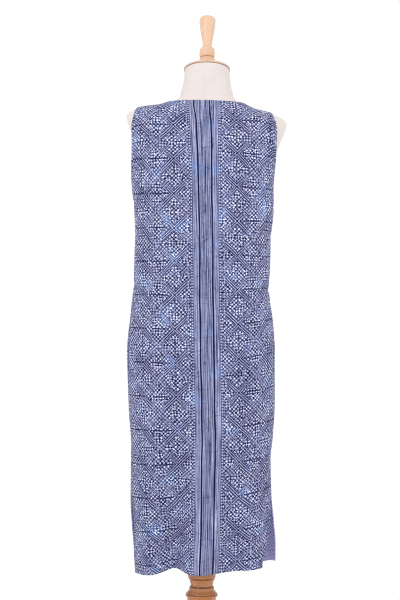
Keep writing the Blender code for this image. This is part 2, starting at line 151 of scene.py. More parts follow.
def smooth_curve(rows: Sequence[NamedTuple], column: str, unit: float = MM) -> Callable[[float], float]:
    """Run a smooth line, with no overshoot, through one column of a table.

    Args:
        rows: The table, with its lowest height first.
        column: The name of the column to read.
        unit: What the column's numbers are multiplied by.

    Returns:
        A function of height in metres.
    """
    heights = np.array([row.height * MM for row in rows])
    values = np.array([getattr(row, column) for row in rows], dtype=float) * unit
    spans = np.diff(heights)
    slopes = np.diff(values) / spans
    tangents = np.concatenate(([slopes[0]], np.zeros(len(rows) - 2), [slopes[-1]]))
    for i in range(1, len(rows) - 1):
        before, after = slopes[i - 1], slopes[i]
        if before * after > 0:
            tangents[i] = 2 * before * after / (before + after)

    def value_at(height: float) -> float:
        """Read the line at one height."""
        z = min(max(height, heights[0]), heights[-1])
        i = min(int(np.searchsorted(heights, z, side="right")) - 1, len(spans) - 1)
        span = spans[i]
        t = (z - heights[i]) / span
        rise = t * t * (3 - 2 * t)
        start = tangents[i] * span * t * (1 - t) ** 2
        end = tangents[i + 1] * span * t * t * (t - 1)
        return values[i] + (values[i + 1] - values[i]) * rise + start + end

    return value_at


def all_curves(rows: Sequence[NamedTuple], **units: float) -> dict[str, Callable[[float], float]]:
    """Run a smooth line through every column of a table; units are for those not in millimetres."""
    columns = [name for name in rows[0]._fields if name != "height"]
    return {name: smooth_curve(rows, name, units.get(name, MM)) for name in columns}


def distance_along(points: np.ndarray) -> np.ndarray:
    """Give each point's distance along a line of points."""
    return np.concatenate(([0.0], np.cumsum(np.linalg.norm(np.diff(points, axis=0), axis=1))))


def ease(t: float) -> float:
    """Step smoothly from 0 to 1 as t runs from 0 to 1."""
    t = min(max(t, 0.0), 1.0)
    return t * t * (3 - 2 * t)


@dataclass(frozen=True)
class Section:
    """A level squared ellipse with unlike depths before and behind its middle line."""

    half_width: float
    middle: float
    back: float
    front: float
    forward: float
    squareness: float

    def point(self, turn: float) -> tuple[float, float]:
        """Give x and y at a turn, which is 0 at the front's middle and runs by the right side."""
        power = 2 / self.squareness
        across = math.copysign(abs(math.sin(turn)) ** power, math.sin(turn))
        along = math.copysign(abs(math.cos(turn)) ** power, math.cos(turn))
        depth = self.front if along > 0 else self.back
        return self.middle + self.half_width * across, self.forward + depth * along

    def turn_behind(self, behind: float) -> float:
        """Give the turn, on the right side, of the point this far behind the widest line."""
        depth = self.back if behind > 0 else self.front
        share = min(abs(behind) / depth, 1.0) ** (self.squareness / 2)
        return math.pi / 2 + math.copysign(math.asin(share), behind)

    def depth_at(self, x: np.ndarray | float, side: Side, least: float) -> np.ndarray:
        """Give y on one side of the section, at distances x, never nearer the middle line than least."""
        share = np.minimum(np.abs(np.asarray(x) - self.middle) / self.half_width, 1.0)
        bulge = (1 - share**self.squareness) ** (1 / self.squareness)
        if side is Side.BACK:
            return self.forward - np.maximum(self.back * bulge, least)
        return self.forward + np.maximum(self.front * bulge, least)


class FormShape:
    """The level sections of the dress form."""

    def __init__(self) -> None:
        """Read the form's table."""
        self._curves = all_curves(FORM_ROWS, squareness=1.0)

    def section(self, z: float) -> Section:
        """Give the form's section at a height."""
        read = self._curves
        return Section(
            read["half_width"](z), 0.0, read["back"](z), read["front"](z), read["forward"](z),
            read["squareness"](z),
        )


class Fold(NamedTuple):
    """An upright fold of the skirt, in millimetres; depth is negative inwards, lift raises the hem."""

    across: float
    reach: float
    depth: float
    top: float
    lift: float


SKIRT_FOLDS = {
    Side.BACK: [Fold(*row) for row in (
        (-71, 31, -35, 760, 14), (-128, 24, 9, 640, 0), (-12, 34, 8, 700, -1), (74, 38, -9, 620, 2),
        (118, 24, 6, 560, 0),
    )],
    Side.FRONT: [Fold(*row) for row in (
        (-98, 30, -17, 680, 3), (-42, 30, 9, 720, 0), (26, 32, -14, 640, 3), (88, 30, 8, 600, 0),
        (134, 22, -5, 540, -11),
    )],
}


class Crease(NamedTuple):
    """A soft crease, placed one by one, in millimetres: depth is negative for a trough."""

    x: float
    z: float
    slope: float
    length: float
    width: float
    depth: float


CREASES = {
    Side.BACK: [Crease(*row) for row in (
        (-150, 1192, 24, 62, 9, -3.4), (-140, 1208, 20, 52, 8, 2.2), (-152, 1112, 14, 54, 9, -2.6),
        (-120, 1122, 22, 64, 11, 1.6), (140, 1176, -30, 56, 10, -2.6), (128, 1104, -18, 58, 10, -1.8),
        (-150, 985, 6, 46, 10, -3.0), (-142, 955, -8, 52, 9, 2.0), (146, 972, -7, 48, 10, -3.0),
        (132, 940, 9, 56, 11, 1.8), (92, 1010, -34, 82, 14, -1.7), (-84, 1032, 38, 88, 15, -1.6),
        (-98, 760, 82, 140, 15, -2.4), (100, 730, 96, 170, 17, -2.6), (46, 640, 88, 150, 18, 1.9),
        (-30, 560, 93, 150, 16, -1.8), (148, 560, 84, 120, 12, 2.4), (-150, 620, 95, 110, 11, -2.2),
        (20, 1340, 3, 90, 14, -0.8),
    )],
    Side.FRONT: [Crease(*row) for row in (
        (146, 1186, -26, 60, 9, -3.2), (132, 1206, -20, 50, 8, 2.0), (-152, 1178, 28, 62, 10, -3.0),
        (-140, 1098, 16, 50, 9, -2.2), (138, 1096, -14, 56, 10, -2.4), (60, 1050, -72, 110, 15, -2.4),
        (-72, 1040, 74, 120, 16, -2.6), (-148, 975, 7, 50, 10, -3.0), (142, 966, -9, 52, 10, -2.8),
        (0, 905, 4, 120, 16, -1.4), (-60, 700, 86, 160, 17, -2.6), (72, 690, 95, 150, 16, -2.4),
        (130, 520, 87, 120, 13, 2.2),
    )],
}

# Heights of the dress and its openings
HEM = 0.271
VENT_TOP = 0.484
SLIT_LOW = 0.338
POCKET_LOW = 0.745
POCKET_HIGH = 0.862
UNDERARM = 1.233
RESTS_FROM = 1.365
RESTS_FULLY = 1.385
NECK_LEFT = -0.095
NECK_RIGHT = 0.090
TIP_LEFT = -0.170
TIP_RIGHT = 0.160
NECK_LOWEST = {Side.BACK: 1.4248, Side.FRONT: 1.392}
VENT_OPENING = {
    (Side.BACK, Hand.LEFT): 12 * MM,
    (Side.BACK, Hand.RIGHT): 73 * MM,
    (Side.FRONT, Hand.LEFT): 5 * MM,
    (Side.FRONT, Hand.RIGHT): 4 * MM,
}
POCKET_OPENING = {Side.BACK: 10 * MM, Side.FRONT: 1 * MM}
SLIT_OPENING = 22 * MM
BAND_LINE = ((300, 10.0), (380, 12.0), (620, 12.3), (960, 3.3), (1370, -4.2))
HEM_RISE = {Side.BACK: (4 * MM, 13 * MM, 27 * MM), Side.FRONT: (4 * MM, 13 * MM, 33 * MM)}
FOLD_SPREAD = 0.25
SHOULDER_LIFT = 2.5 * MM
SHOULDER_EASE = 1.6 * MM
UPPER_EASE = {Side.BACK: 2.6 * MM, Side.FRONT: 3.7 * MM}
SEAM_GAP = 0.2 * MM
PIECE_GAP = 0.3 * MM

# The shoulders stand higher on the left: how much for each metre to the side, and between which
# heights that comes in and goes out again
LEAN = 0.040
LEAN_FROM = 1.14
LEAN_FULLY = 1.33
LEAN_UNTIL = 1.403
LEAN_GONE = 1.445


def lean(x: np.ndarray | float, z: np.ndarray | float) -> np.ndarray | float:
    """Give a height once the shoulders have dropped a little to the right."""

    def ramp(start: float, end: float) -> np.ndarray | float:
        """Step smoothly from 0 at start to 1 at end."""
        t = np.clip((z - start) / (end - start), 0.0, 1.0)
        return t * t * (3 - 2 * t)

    return z - x * LEAN * ramp(LEAN_FROM, LEAN_FULLY) * (1 - ramp(LEAN_UNTIL, LEAN_GONE))


class DressShape:
    """The level sections, seam lines, folds and edges of the dress."""

    ROW_SAMPLES = 241
    HALVINGS = 40

    def __init__(self, form: FormShape) -> None:
        """Read the dress's tables.

        Args:
            form: The form that the shoulders of the dress lie on.
        """
        self.form = form
        self._curves = all_curves(DRESS_ROWS)
        self.armhole = {hand: smooth_curve(ARMHOLE_ROWS, hand.value) for hand in Hand}

    def section(self, z: float) -> Section:
        """Give the dress's section at a height: free below the shoulders, on the form at the top."""
        form = self.form.section(z - SHOULDER_LIFT)
        rest = ease((z - RESTS_FROM) / (RESTS_FULLY - RESTS_FROM))
        read = self._curves

        def blend(free: float, resting: float) -> float:
            """Pass from the free size to the resting one."""
            return free * (1 - rest) + resting * rest

        return Section(
            blend(read["half_width"](z), form.half_width + SHOULDER_EASE),
            blend(read["sway"](z), 0.0),
            blend(read["back"](z), form.back + UPPER_EASE[Side.BACK]),
            blend(read["front"](z), form.front + UPPER_EASE[Side.FRONT]),
            form.forward,
            form.squareness,
        )

    def seam_edge(self, z: float, side: Side, hand: Hand) -> float:
        """Give how far behind the widest line a panel's edge lies, with its vent and pocket mouth."""
        away = SEAM_GAP / 2
        if z < VENT_TOP:
            away += VENT_OPENING[side, hand] * ease((VENT_TOP - z) / (VENT_TOP - HEM))
        if POCKET_LOW < z < POCKET_HIGH:
            share = (z - POCKET_LOW) / (POCKET_HIGH - POCKET_LOW)
            away += POCKET_OPENING[side] * math.sin(math.pi * share)
        if (side, hand) == (Side.BACK, Hand.LEFT) and SLIT_LOW < z < VENT_TOP:
            away += SLIT_OPENING * math.sin(math.pi * (z - SLIT_LOW) / (VENT_TOP - SLIT_LOW))
        behind = self._curves["seam_back"](z)
        return behind + away if side is Side.BACK else behind - away

    def level_row(self, z: float, side: Side, shares: np.ndarray) -> np.ndarray:
        """Give x and y along a level row of a panel, at shares of its length from left to right."""
        section = self.section(z)
        left = -section.turn_behind(self.seam_edge(z, side, Hand.LEFT))
        right = section.turn_behind(self.seam_edge(z, side, Hand.RIGHT))
        if side is Side.BACK:
            left += 2 * math.pi
        points = np.array([section.point(turn) for turn in np.linspace(left, right, self.ROW_SAMPLES)])
        along = np.concatenate(([0.0], np.cumsum(np.hypot(*np.diff(points, axis=0).T))))
        wanted = shares * along[-1]
        return np.column_stack([np.interp(wanted, along, points[:, i]) for i in (0, 1)])

    @staticmethod
    def fold_at(side: Side, x: float, z: float) -> tuple[float, float]:
        """Give how far the upright folds push the cloth outwards and how much they lift it."""
        push = lift = 0.0
        for fold in SKIRT_FOLDS[side]:
            across = math.exp(-(((x - fold.across * MM) / (fold.reach * MM)) ** 2))
            fade = ease((fold.top * MM - z) / (fold.top * MM - HEM))
            push += fold.depth * MM * across * fade
            lift += fold.lift * MM * across * fade * fade
        return push, lift

    @staticmethod
    def hem_rise(side: Side, share: float) -> float:
        """Give the hem's rise at a share of the panel's width."""
        left, middle, right = HEM_RISE[side]
        place = 2 * share - 1
        return middle + place * (right - left) / 2 + place * place * ((right + left) / 2 - middle)

    def ridge_height(self, x: float) -> float:
        """Give the height at which the shoulder line passes a distance x to the side."""
        low, high = RESTS_FULLY, FORM_ROWS[-1].height * MM
        for _ in range(self.HALVINGS):
            middle = (low + high) / 2
            if self.section(middle).half_width > abs(x):
                low = middle
            else:
                high = middle
        return (low + high) / 2

    def top_edge(self, side: Side, shoulder: int, neck: int) -> list[tuple[float, float]]:
        """Give x and z along a panel's top: left shoulder seam, neckline, right shoulder seam."""
        lowest = NECK_LOWEST[side]
        middle = (NECK_LEFT + NECK_RIGHT) / 2
        reach = (NECK_RIGHT - NECK_LEFT) / 2
        points = [(x, self.ridge_height(x)) for x in np.linspace(TIP_LEFT, NECK_LEFT, shoulder + 1)[:-1]]
        ends = {end: self.ridge_height(end) for end in (NECK_LEFT, NECK_RIGHT)}
        for turn in np.linspace(-math.pi / 2, math.pi / 2, neck + 1):
            share = math.sin(turn)
            end = ends[NECK_LEFT if share < 0 else NECK_RIGHT]
            points.append((middle + reach * share, lowest + (end - lowest) * share * share))
        right = np.linspace(NECK_RIGHT, TIP_RIGHT, shoulder + 1)[1:]
        return points + [(x, self.ridge_height(x)) for x in right]

    def upper_x(self, x_start: float, x_end: float, z: float, step: float) -> float:
        """Give x above the underarm, between a column's start there and its end on top."""
        first = (self.armhole[Hand.LEFT](UNDERARM), self.armhole[Hand.RIGHT](UNDERARM))
        now = (self.armhole[Hand.LEFT](z), self.armhole[Hand.RIGHT](z))
        begin = (x_start - first[0]) / (first[1] - first[0])
        finish = (x_end - TIP_LEFT) / (TIP_RIGHT - TIP_LEFT)
        share = begin + (finish - begin) * step
        return x_end if step >= 1 else now[0] + (now[1] - now[0]) * share


# Nodes of the finishes


def feed(node: bpy.types.Node, inputs: dict) -> bpy.types.Node:
    """Fill a node's inputs: fields and sockets are linked, and plain values are set.

    Args:
        node: The node.
        inputs: What goes into each input, by the input's name or number.

    Returns:
        The same node.
    """
    for slot, source in inputs.items():
        source = source.socket if isinstance(source, Field) else source
        if isinstance(source, bpy.types.NodeSocket):
            node.id_data.links.new(source, node.inputs[slot])
        else:
            node.inputs[slot].default_value = source
    return node


class Field:
    """A number that a material works out at each point; sums of fields lay out Math nodes."""

    def __init__(self, socket: bpy.types.NodeSocket) -> None:
        """Hold an output socket of a material's node."""
        self.socket = socket
        self.nodes = socket.id_data.nodes

    def _math(self, operation: str, *others: "Field | float") -> "Field":
        """Add one Math node that takes this field first."""
        node = self.nodes.new("ShaderNodeMath")
        node.operation = operation
        return Field(feed(node, dict(enumerate((self, *others)))).outputs[0])

    # One Math node each. beyond gives 1 where the field is over a limit, and 0 elsewhere
    __add__ = partialmethod(_math, "ADD")
    __sub__ = partialmethod(_math, "SUBTRACT")
    __mul__ = partialmethod(_math, "MULTIPLY")
    __truediv__ = partialmethod(_math, "DIVIDE")
    __abs__ = partialmethod(_math, "ABSOLUTE")
    most = partialmethod(_math, "MAXIMUM")
    least = partialmethod(_math, "MINIMUM")
    beyond = partialmethod(_math, "GREATER_THAN")

    def inverse(self) -> "Field":
        """Give 1 less this field."""
        return self * -1.0 + 1.0

    def wrap(self, reach: float) -> "Field":
        """Repeat this field between minus reach and reach."""
        return self._math("WRAP", reach, -reach)

    def wave(self, pitch: float) -> "Field":
        """Give a wave from 0, where this field is a multiple of the pitch, to 1 halfway between."""
        return (self * (2 * math.pi / pitch))._math("COSINE") * -0.5 + 0.5

    def length_with(self, other: "Field") -> "Field":
        """Give the length of the arrow that has these two fields as its sides."""
        return (self * self + other * other)._math("SQRT")

    def rise(self, start: float, end: float) -> "Field":
        """Pass smoothly from 0 at start to 1 at end; start may be the larger."""
        node = self.nodes.new("ShaderNodeMapRange")
        node.interpolation_type = "SMOOTHSTEP"
        falls = start > end
        return Field(feed(node, {
            "Value": self, "From Min": min(start, end), "From Max": max(start, end),
            "To Min": float(falls), "To Max": float(not falls),
        }).outputs["Result"])

    def mix(self, share: "Field", other: "Field | float") -> "Field":
        """Pass from this field to another as a share runs from 0 to 1."""
        node = self.nodes.new("ShaderNodeMix")
        node.data_type = "FLOAT"
        return Field(feed(node, {0: share, 2: self, 3: other}).outputs[0])


class Finish:
    """A material under construction: a Principled shader and short calls that lay out its nodes."""

    SHEEN_ROUGHNESS = 0.6

    def __init__(self, name: str, roughness: float, sheen: float = 0.0, gloss: float = 0.5) -> None:
        """Start a material.

        Args:
            name: The material's name.
            roughness: How rough its surface is all over.
            sheen: How much soft sheen its fibres give.
            gloss: How much its surface mirrors, where 0.5 is plain varnish.
        """
        self.material = bpy.data.materials.new(name)
        self.material.use_nodes = True
        self.nodes = self.material.node_tree.nodes
        self.shader = feed(self.nodes["Principled BSDF"], {
            "Roughness": roughness, "Sheen Weight": sheen, "Sheen Roughness": self.SHEEN_ROUGHNESS,
            "Specular IOR Level": gloss,
        })

    def place(self, uv: str | None = None) -> list[Field]:
        """Give the point's place in millimetres, on the cloth's own map or in the object."""
        node = self.nodes.new("ShaderNodeUVMap" if uv else "ShaderNodeTexCoord")
        if uv:
            node.uv_map = uv
        split = feed(self.nodes.new("ShaderNodeSeparateXYZ"), {0: node.outputs["UV" if uv else "Object"]})
        return [Field(socket) * (1 / MM) for socket in split.outputs]

    def _arrow(self, *parts: Field) -> bpy.types.NodeSocket:
        """Join two or three fields into one arrow."""
        return feed(self.nodes.new("ShaderNodeCombineXYZ"), dict(enumerate(parts))).outputs[0]

    def noise(self, *at: Field, detail: float = 2.0, roughness: float = 0.5) -> Field:
        """Give cloudy noise, around 0.5, with cells of 1 unit of the arrow that the fields make."""
        return Field(feed(self.nodes.new("ShaderNodeTexNoise"), {
            "Vector": self._arrow(*at), "Scale": 1.0, "Detail": detail, "Roughness": roughness,
        }).outputs["Fac"])

    def cracks(self, *at: Field) -> Field:
        """Give the distance to the nearest edge between cells of about 1 unit."""
        node = self.nodes.new("ShaderNodeTexVoronoi")
        node.feature = "DISTANCE_TO_EDGE"
        return Field(feed(node, {"Vector": self._arrow(*at), "Scale": 1.0}).outputs["Distance"])

    def ramp(self, tone: Field, stops: Sequence[tuple[float, Colour]]) -> bpy.types.NodeSocket:
        """Turn a tone from 0 to 1 into a colour."""
        node = feed(self.nodes.new("ShaderNodeValToRGB"), {0: tone})
        elements = node.color_ramp.elements
        while len(elements) < len(stops):
            elements.new(0.5)
        for element, (place, colour) in zip(elements, stops):
            element.position = place
            element.color = (*colour, 1.0)
        return node.outputs["Color"]

    def blend(
        self, share: Field, first: bpy.types.NodeSocket | Colour, second: bpy.types.NodeSocket | Colour,
        mode: str = "MIX",
    ) -> bpy.types.NodeSocket:
        """Pass from one colour to another as a share runs from 0 to 1."""
        node = self.nodes.new("ShaderNodeMix")
        node.data_type = "RGBA"
        node.blend_type = mode
        first, second = ((*end, 1.0) if isinstance(end, tuple) else end for end in (first, second))
        return feed(node, {0: share, 6: first, 7: second}).outputs[2]

    def finish(
        self, colour: bpy.types.NodeSocket, height: Field, depth: float, roughness: Field | None = None
    ) -> bpy.types.Material:
        """Connect colour, relief and roughness to the shader.

        Args:
            colour: The surface's colour.
            height: Its relief, from 0 to 1.
            depth: What a height of 1 stands for, in metres.
            roughness: Roughness from point to point, where it varies.

        Returns:
            The finished material.
        """
        bump = feed(self.nodes.new("ShaderNodeBump"), {"Height": height, "Strength": 1.0, "Distance": depth})
        feed(self.shader, {"Base Color": colour, "Normal": bump.outputs["Normal"]})
        if roughness is not None:
            feed(self.shader, {"Roughness": roughness})
        return self.material


@dataclass(frozen=True)
class BatikCotton:
    """Indigo and white wax-resist cotton: a striped middle band between lattices of diamonds.

    Sizes are in millimetres on the flat cloth, x from the band's middle and y up from the hem. Only the
    reliefs are in metres.
    """

    band_half: float = 31.0
    border: float = 34.0
    strong_line: float = 15.6
    half_across: float = 43.2
    half_up: float = 41.43
    first_centre: float = 76.5
    left_stretch: float = 1.0205
    phase: float = 64.5
    line_pitch: float = 4.9
    lines_reach: float = 7.3
    hook_tip: float = 14.5
    dot_across: float = 7.2
    dot_up: float = 6.905
    slant_pitch: float = 9.6
    rule_pitch: float = 3.1
    streak_pitch: float = 5.6
    bar_centre: float = 38.0
    bar_apart: float = 31.0
    climb: float = 0.13
    climb_from: float = 780.0
    climb_fully: float = 560.0
    widen_from: float = 930.0
    widen_to: float = 1180.0
    widen_by: float = 8.0
    widen_over: float = 14.0
    pale_from: float = 300.0
    pale_to: float = 850.0
    kink_from: float = 1085.0
    kink_to: float = 1150.0
    kink_by: float = 5.0
    thread_pitch: float = 0.31
    relief: float = 0.12 * MM
    wrong_relief: float = 0.02 * MM
    # Painted light: the wrong side keeps less contrast and is lifted paler, standing in for light that
    # reaches the dress's shaded inside
    wrong_contrast: float = 0.40
    wrong_paleness: float = 0.64
    stray_slow: float = 7.0
    stray_quick: float = 2.4
    vein_depth: float = 0.16
    lattice_contrast: float = 0.95
    lattice_paleness: float = 0.080
    top_paleness: float = 0.028
    wax_by: float = 0.16
    patch_by: float = 0.34
    strong_from: float = 0.70
    strong_fully: float = 0.85
    blue_cast: Colour = (0.44, 0.70, 0.92)
    grey_cast: Colour = (0.50, 0.49, 0.40)
    uv: str = "cloth"

    def material(self, face: ClothFace) -> bpy.types.Material:
        """Build the cloth's material for one face.

        Args:
            face: The printed face, or the wrong side, painted paler as painted light for the dress's shaded
                inside.

        Returns:
            The material.
        """
        make = Finish(f"batik_{face.value}", 0.9, 0.03, 0.12)
        x, y, _ = make.place(self.uv)
        sway = make.noise(x * 0.012, y * 0.012, detail=1.0)
        drift = make.noise(x * 0.012 + 7.3, y * 0.012 + 2.1, detail=1.0)
        jitter = make.noise(x * 0.11, y * 0.11, detail=1.0)
        wobble = make.noise(x * 0.11 + 3.7, y * 0.11 + 9.4, detail=1.0)
        widening = y.rise(self.widen_from, self.widen_to) * self.widen_by * x.rise(0.0, -self.widen_over)
        wide_x = x + widening
        y = y - (x - self.first_centre).most(0.0) * y.rise(self.climb_from, self.climb_fully) * self.climb
        hand_x = x + (sway - 0.5) * self.stray_slow + (jitter - 0.5) * self.stray_quick
        hand_y = y + (drift - 0.5) * self.stray_slow + (wobble - 0.5) * self.stray_quick
        wax = make.noise(x * 0.045, y * 0.045)
        patch = make.noise(x * 0.016, y * 0.016)

        lattice = self._lattice(make, hand_x, hand_y) * self.lattice_contrast + self.lattice_paleness
        lattice = lattice + y.rise(self.pale_from, self.pale_to) * self.top_paleness
        band = self._band(make, wide_x, y)
        edge = abs(wide_x + (jitter - 0.5) * 1.2)
        teeth = self._edge_dots(hand_y, edge)
        in_field = edge.rise(self.band_half - 1.0, self.band_half + 0.6)
        beyond_teeth = edge.rise(self.border + 2.4, self.border + 3.6)
        tone = band.mix(in_field, teeth).mix(beyond_teeth, lattice)
        tone = tone + (wax - 0.5) * self.wax_by + (patch - 0.5) * self.patch_by * in_field
        veins = make.cracks(hand_x * 0.045, hand_y * 0.045).rise(0.03, 0.0)
        tone = tone - veins * self.vein_depth

        # Painted light: the wrong side is lifted paler here, so the shaded inside of the dress reads as lit
        if face is ClothFace.WRONG_SIDE:
            tone = tone * self.wrong_contrast + self.wrong_paleness
        colour = make.ramp(tone, self._dyes(face))
        colour = make.blend(patch.rise(0.55, 0.70) * 0.50, colour, self.blue_cast, "SOFT_LIGHT")
        greyer = make.noise(x * 0.02 + 5.0, y * 0.02 + 5.0)
        colour = make.blend(greyer.rise(0.50, 0.66) * 0.45, colour, self.grey_cast, "SOFT_LIGHT")
        fine, wide = self.thread_pitch, 2 * self.thread_pitch
        weave = (x.wave(wide) * y.wave(fine) + x.wave(fine) * y.wave(wide)) * 0.5
        slub = make.noise(x * 0.05, y * 1.4)
        relief = self.relief if face is ClothFace.RIGHT_SIDE else self.wrong_relief
        return make.finish(colour, weave * 0.7 + slub * 0.5, relief)

    @staticmethod
    def _dyes(face: ClothFace) -> list[tuple[float, Colour]]:
        """Give the dye's colours, from deep indigo to bare waxed cotton; the wrong side's pale end is bluer,
        a painted tint against the brown light bounced inside the dress.
        """
        dark = [
            (0.00, (0.004, 0.006, 0.046)),
            (0.22, (0.052, 0.057, 0.145)),
            (0.50, (0.208, 0.222, 0.385)),
        ]
        # Painted light: the wrong side's stops are paler and bluer, to offset the shade and the brown bounce
        # inside the dress
        if face is ClothFace.WRONG_SIDE:
            return dark + [(0.76, (0.450, 0.480, 0.880)), (1.00, (0.660, 0.700, 1.000))]
        return dark + [(0.76, (0.430, 0.456, 0.705)), (1.00, (0.810, 0.845, 1.000))]

    def _lattice(self, make: Finish, x: Field, y: Field) -> Field:
        """Draw the half-drop diamonds with their double lines, hooks and dots."""
        stretch = x.beyond(0.0).inverse() * (self.left_stretch - 1.0) + 1.0
        out = abs(x) - self.first_centre
        up = y * stretch - self.phase
        p = out / self.half_across
        q = up / self.half_up
        side = 1 / math.hypot(1 / self.half_across, 1 / self.half_up)
        first = (p + q).wrap(1.0) * side
        second = (p - q).wrap(1.0) * side
        reach = abs(first).most(abs(second))
        inner = abs(first).least(abs(second))
        from_line = reach * -1.0 + side

        # Some of the diamonds' double lines are strong, the others faint
        by_first, by_second = (
            abs(line).rise(side * self.strong_from, side * self.strong_fully) for line in (first, second)
        )
        strong = by_first * abs(out).rise(31.0, 27.0)
        far = abs(out - self.half_across * 2).rise(27.0, 22.0)
        strong = strong.most(by_second * far)
        crossing = by_second * abs(out).rise(19.0, 14.0)
        strong = strong.most(crossing * 0.75)
        bars = from_line.wave(self.line_pitch).rise(0.22, 0.86) * 0.80 - 0.10
        rules = from_line.wave(self.rule_pitch).rise(0.2, 0.8) * 0.36 + 0.34
        edge = abs(from_line - self.line_pitch).rise(1.5, 0.7) * inner.rise(13.0, 15.0)
        faint = rules.mix(edge * 0.8, 0.04).mix(strong, bars)
        in_lines = from_line.rise(self.lines_reach + 0.6, self.lines_reach - 0.6)

        # Dots fill the diamonds, in square rows here and in slanting ones there
        speck = make.noise(out * 0.17, up * 0.17, detail=1.0)
        shift = make.noise(out * 0.05 + 8.0, up * 0.05, detail=1.0)
        level_out = out + (speck - 0.5) * 5.0
        level_up = up + (shift - 0.5) * 4.5
        square = level_out.wave(self.dot_across) + level_up.wave(self.dot_up)
        slant = (level_out + up).wave(self.slant_pitch) + (level_out - up).wave(self.slant_pitch)
        staggered = shift.rise(0.42, 0.48)
        grid = square.mix(staggered, slant)
        dots = (grid + (speck - 0.5) * 1.6).rise(0.38, 1.92) - 0.04

        # Hooks with pale caps reach in from the lines; dark bars cross the middles of some diamonds
        hooks = inner.wave(self.line_pitch).rise(0.35, 0.95) * 0.80 - 0.02
        in_hooks = inner.rise(5.2, 4.2) * reach.rise(self.hook_tip - 0.4, self.hook_tip + 0.6)
        cap = abs(reach - self.hook_tip).rise(1.7, 0.8) * inner.rise(7.4, 6.4)
        bar = abs((up + self.half_up).wrap(self.half_up))
        level = bar.rise(2.3, 1.2) * abs((out - self.bar_centre).wrap(self.bar_apart)).rise(24.0, 21.0)
        level = level * out.rise(9.0, 12.0) * (speck.rise(0.30, 0.62) * 0.6 + 0.4)
        level = level * (level_out.wave(self.dot_across) * 0.6 + 0.4)
        upright = abs(out.wrap(self.half_across)).rise(1.7, 0.9) * 0.40 * reach.rise(21.0, 19.0)

        tone = dots.mix(level.most(upright), 0.02)
        tone = tone.mix(in_lines * (strong * 0.42 + 0.42), faint)
        tone = tone.mix(in_hooks * (speck.rise(0.35, 0.60) * 0.5 + 0.25) * strong.inverse(), hooks)
        tone = tone.mix(cap * 0.40 * strong.inverse(), 0.88)
        return tone.mix(level * 0.68, 0.0)

    def _edge_dots(self, y: Field, edge: Field) -> Field:
        """Draw the column of small pale dots along each edge of the band."""
        along = y.wrap(self.dot_up / 2)
        dot = (edge - self.border).length_with(along).rise(2.7, 1.1)
        return dot * 0.62 + 0.24

    def _band(self, make: Finish, x: Field, y: Field) -> Field:
        """Draw the middle band: two strong lines, a broken thinner one and fine wax streaks."""
        slow = make.noise(x * 0.02, y * 0.007)
        streaks = make.noise(x * 0.24, y * 0.006, roughness=0.6)
        fine = make.noise(x * 0.46 + 4.0, y * 0.012, detail=1.0)
        blots = make.noise(x * 0.10, y * 0.05 + 6.0)
        tone = (streaks - 0.5) * 0.60 + (fine - 0.5) * 0.88 + 0.485
        tone = tone - blots.rise(0.62, 0.74) * 0.16
        ruled = make.noise(x * 0.05 + 9.0, y * 0.006 + 3.0, detail=1.0).rise(0.40, 0.60)
        tone = tone + ((x + (slow - 0.5) * 9.0).wave(self.streak_pitch) - 0.55) * ruled * 0.34
        kink = y.rise(self.kink_from, self.kink_to) * self.kink_by
        across = x + kink + (slow - 0.5) * 7.0
        from_line = abs(abs(across) - self.strong_line)
        tone = tone + from_line.rise(5.4, 3.0) * 0.12
        tone = tone + abs(x).rise(self.strong_line + 3, self.strong_line + 7) * 0.06
        thin = abs(x + (slow - 0.5) * 14.0 - 1.0).rise(1.7, 0.7)
        broken = make.noise(x * 0.01 + 2.0, y * 0.015, detail=1.0).rise(0.46, 0.58)
        tone = tone.mix(thin * broken * 0.75, 0.10)
        return tone.mix(from_line.rise(2.3, 1.4), -0.05)


@dataclass(frozen=True)
class FormCover:
    """Off-white jersey stretched over the form, with a fine rib and faint handling marks."""

    light: Colour = (0.80, 0.722, 0.692)
    shade: Colour = (0.70, 0.610, 0.565)
    rib_pitch: float = 1.15
    row_pitch: float = 0.9
    relief: float = 0.15 * MM

    def material(self) -> bpy.types.Material:
        """Build the cover's material."""
        make = Finish("form_jersey", 0.88, 0.1, 0.25)
        x, y, z = make.place()
        around = x + y
        rows = z.wave(self.row_pitch)
        loops = around.wave(self.rib_pitch) * rows
        marks = make.noise(x * 0.02, y * 0.02, z * 0.02, detail=3.0)
        fibres = make.noise(x * 0.9, y * 0.9, z * 0.35)
        shade = marks.rise(0.42, 0.75) * 0.45 + fibres.rise(0.45, 0.8) * 0.2 + loops * 0.08
        colour = make.blend(shade, self.light, self.shade)
        return make.finish(colour, loops * 0.6 + rows * 0.3 + fibres * 0.3, self.relief)


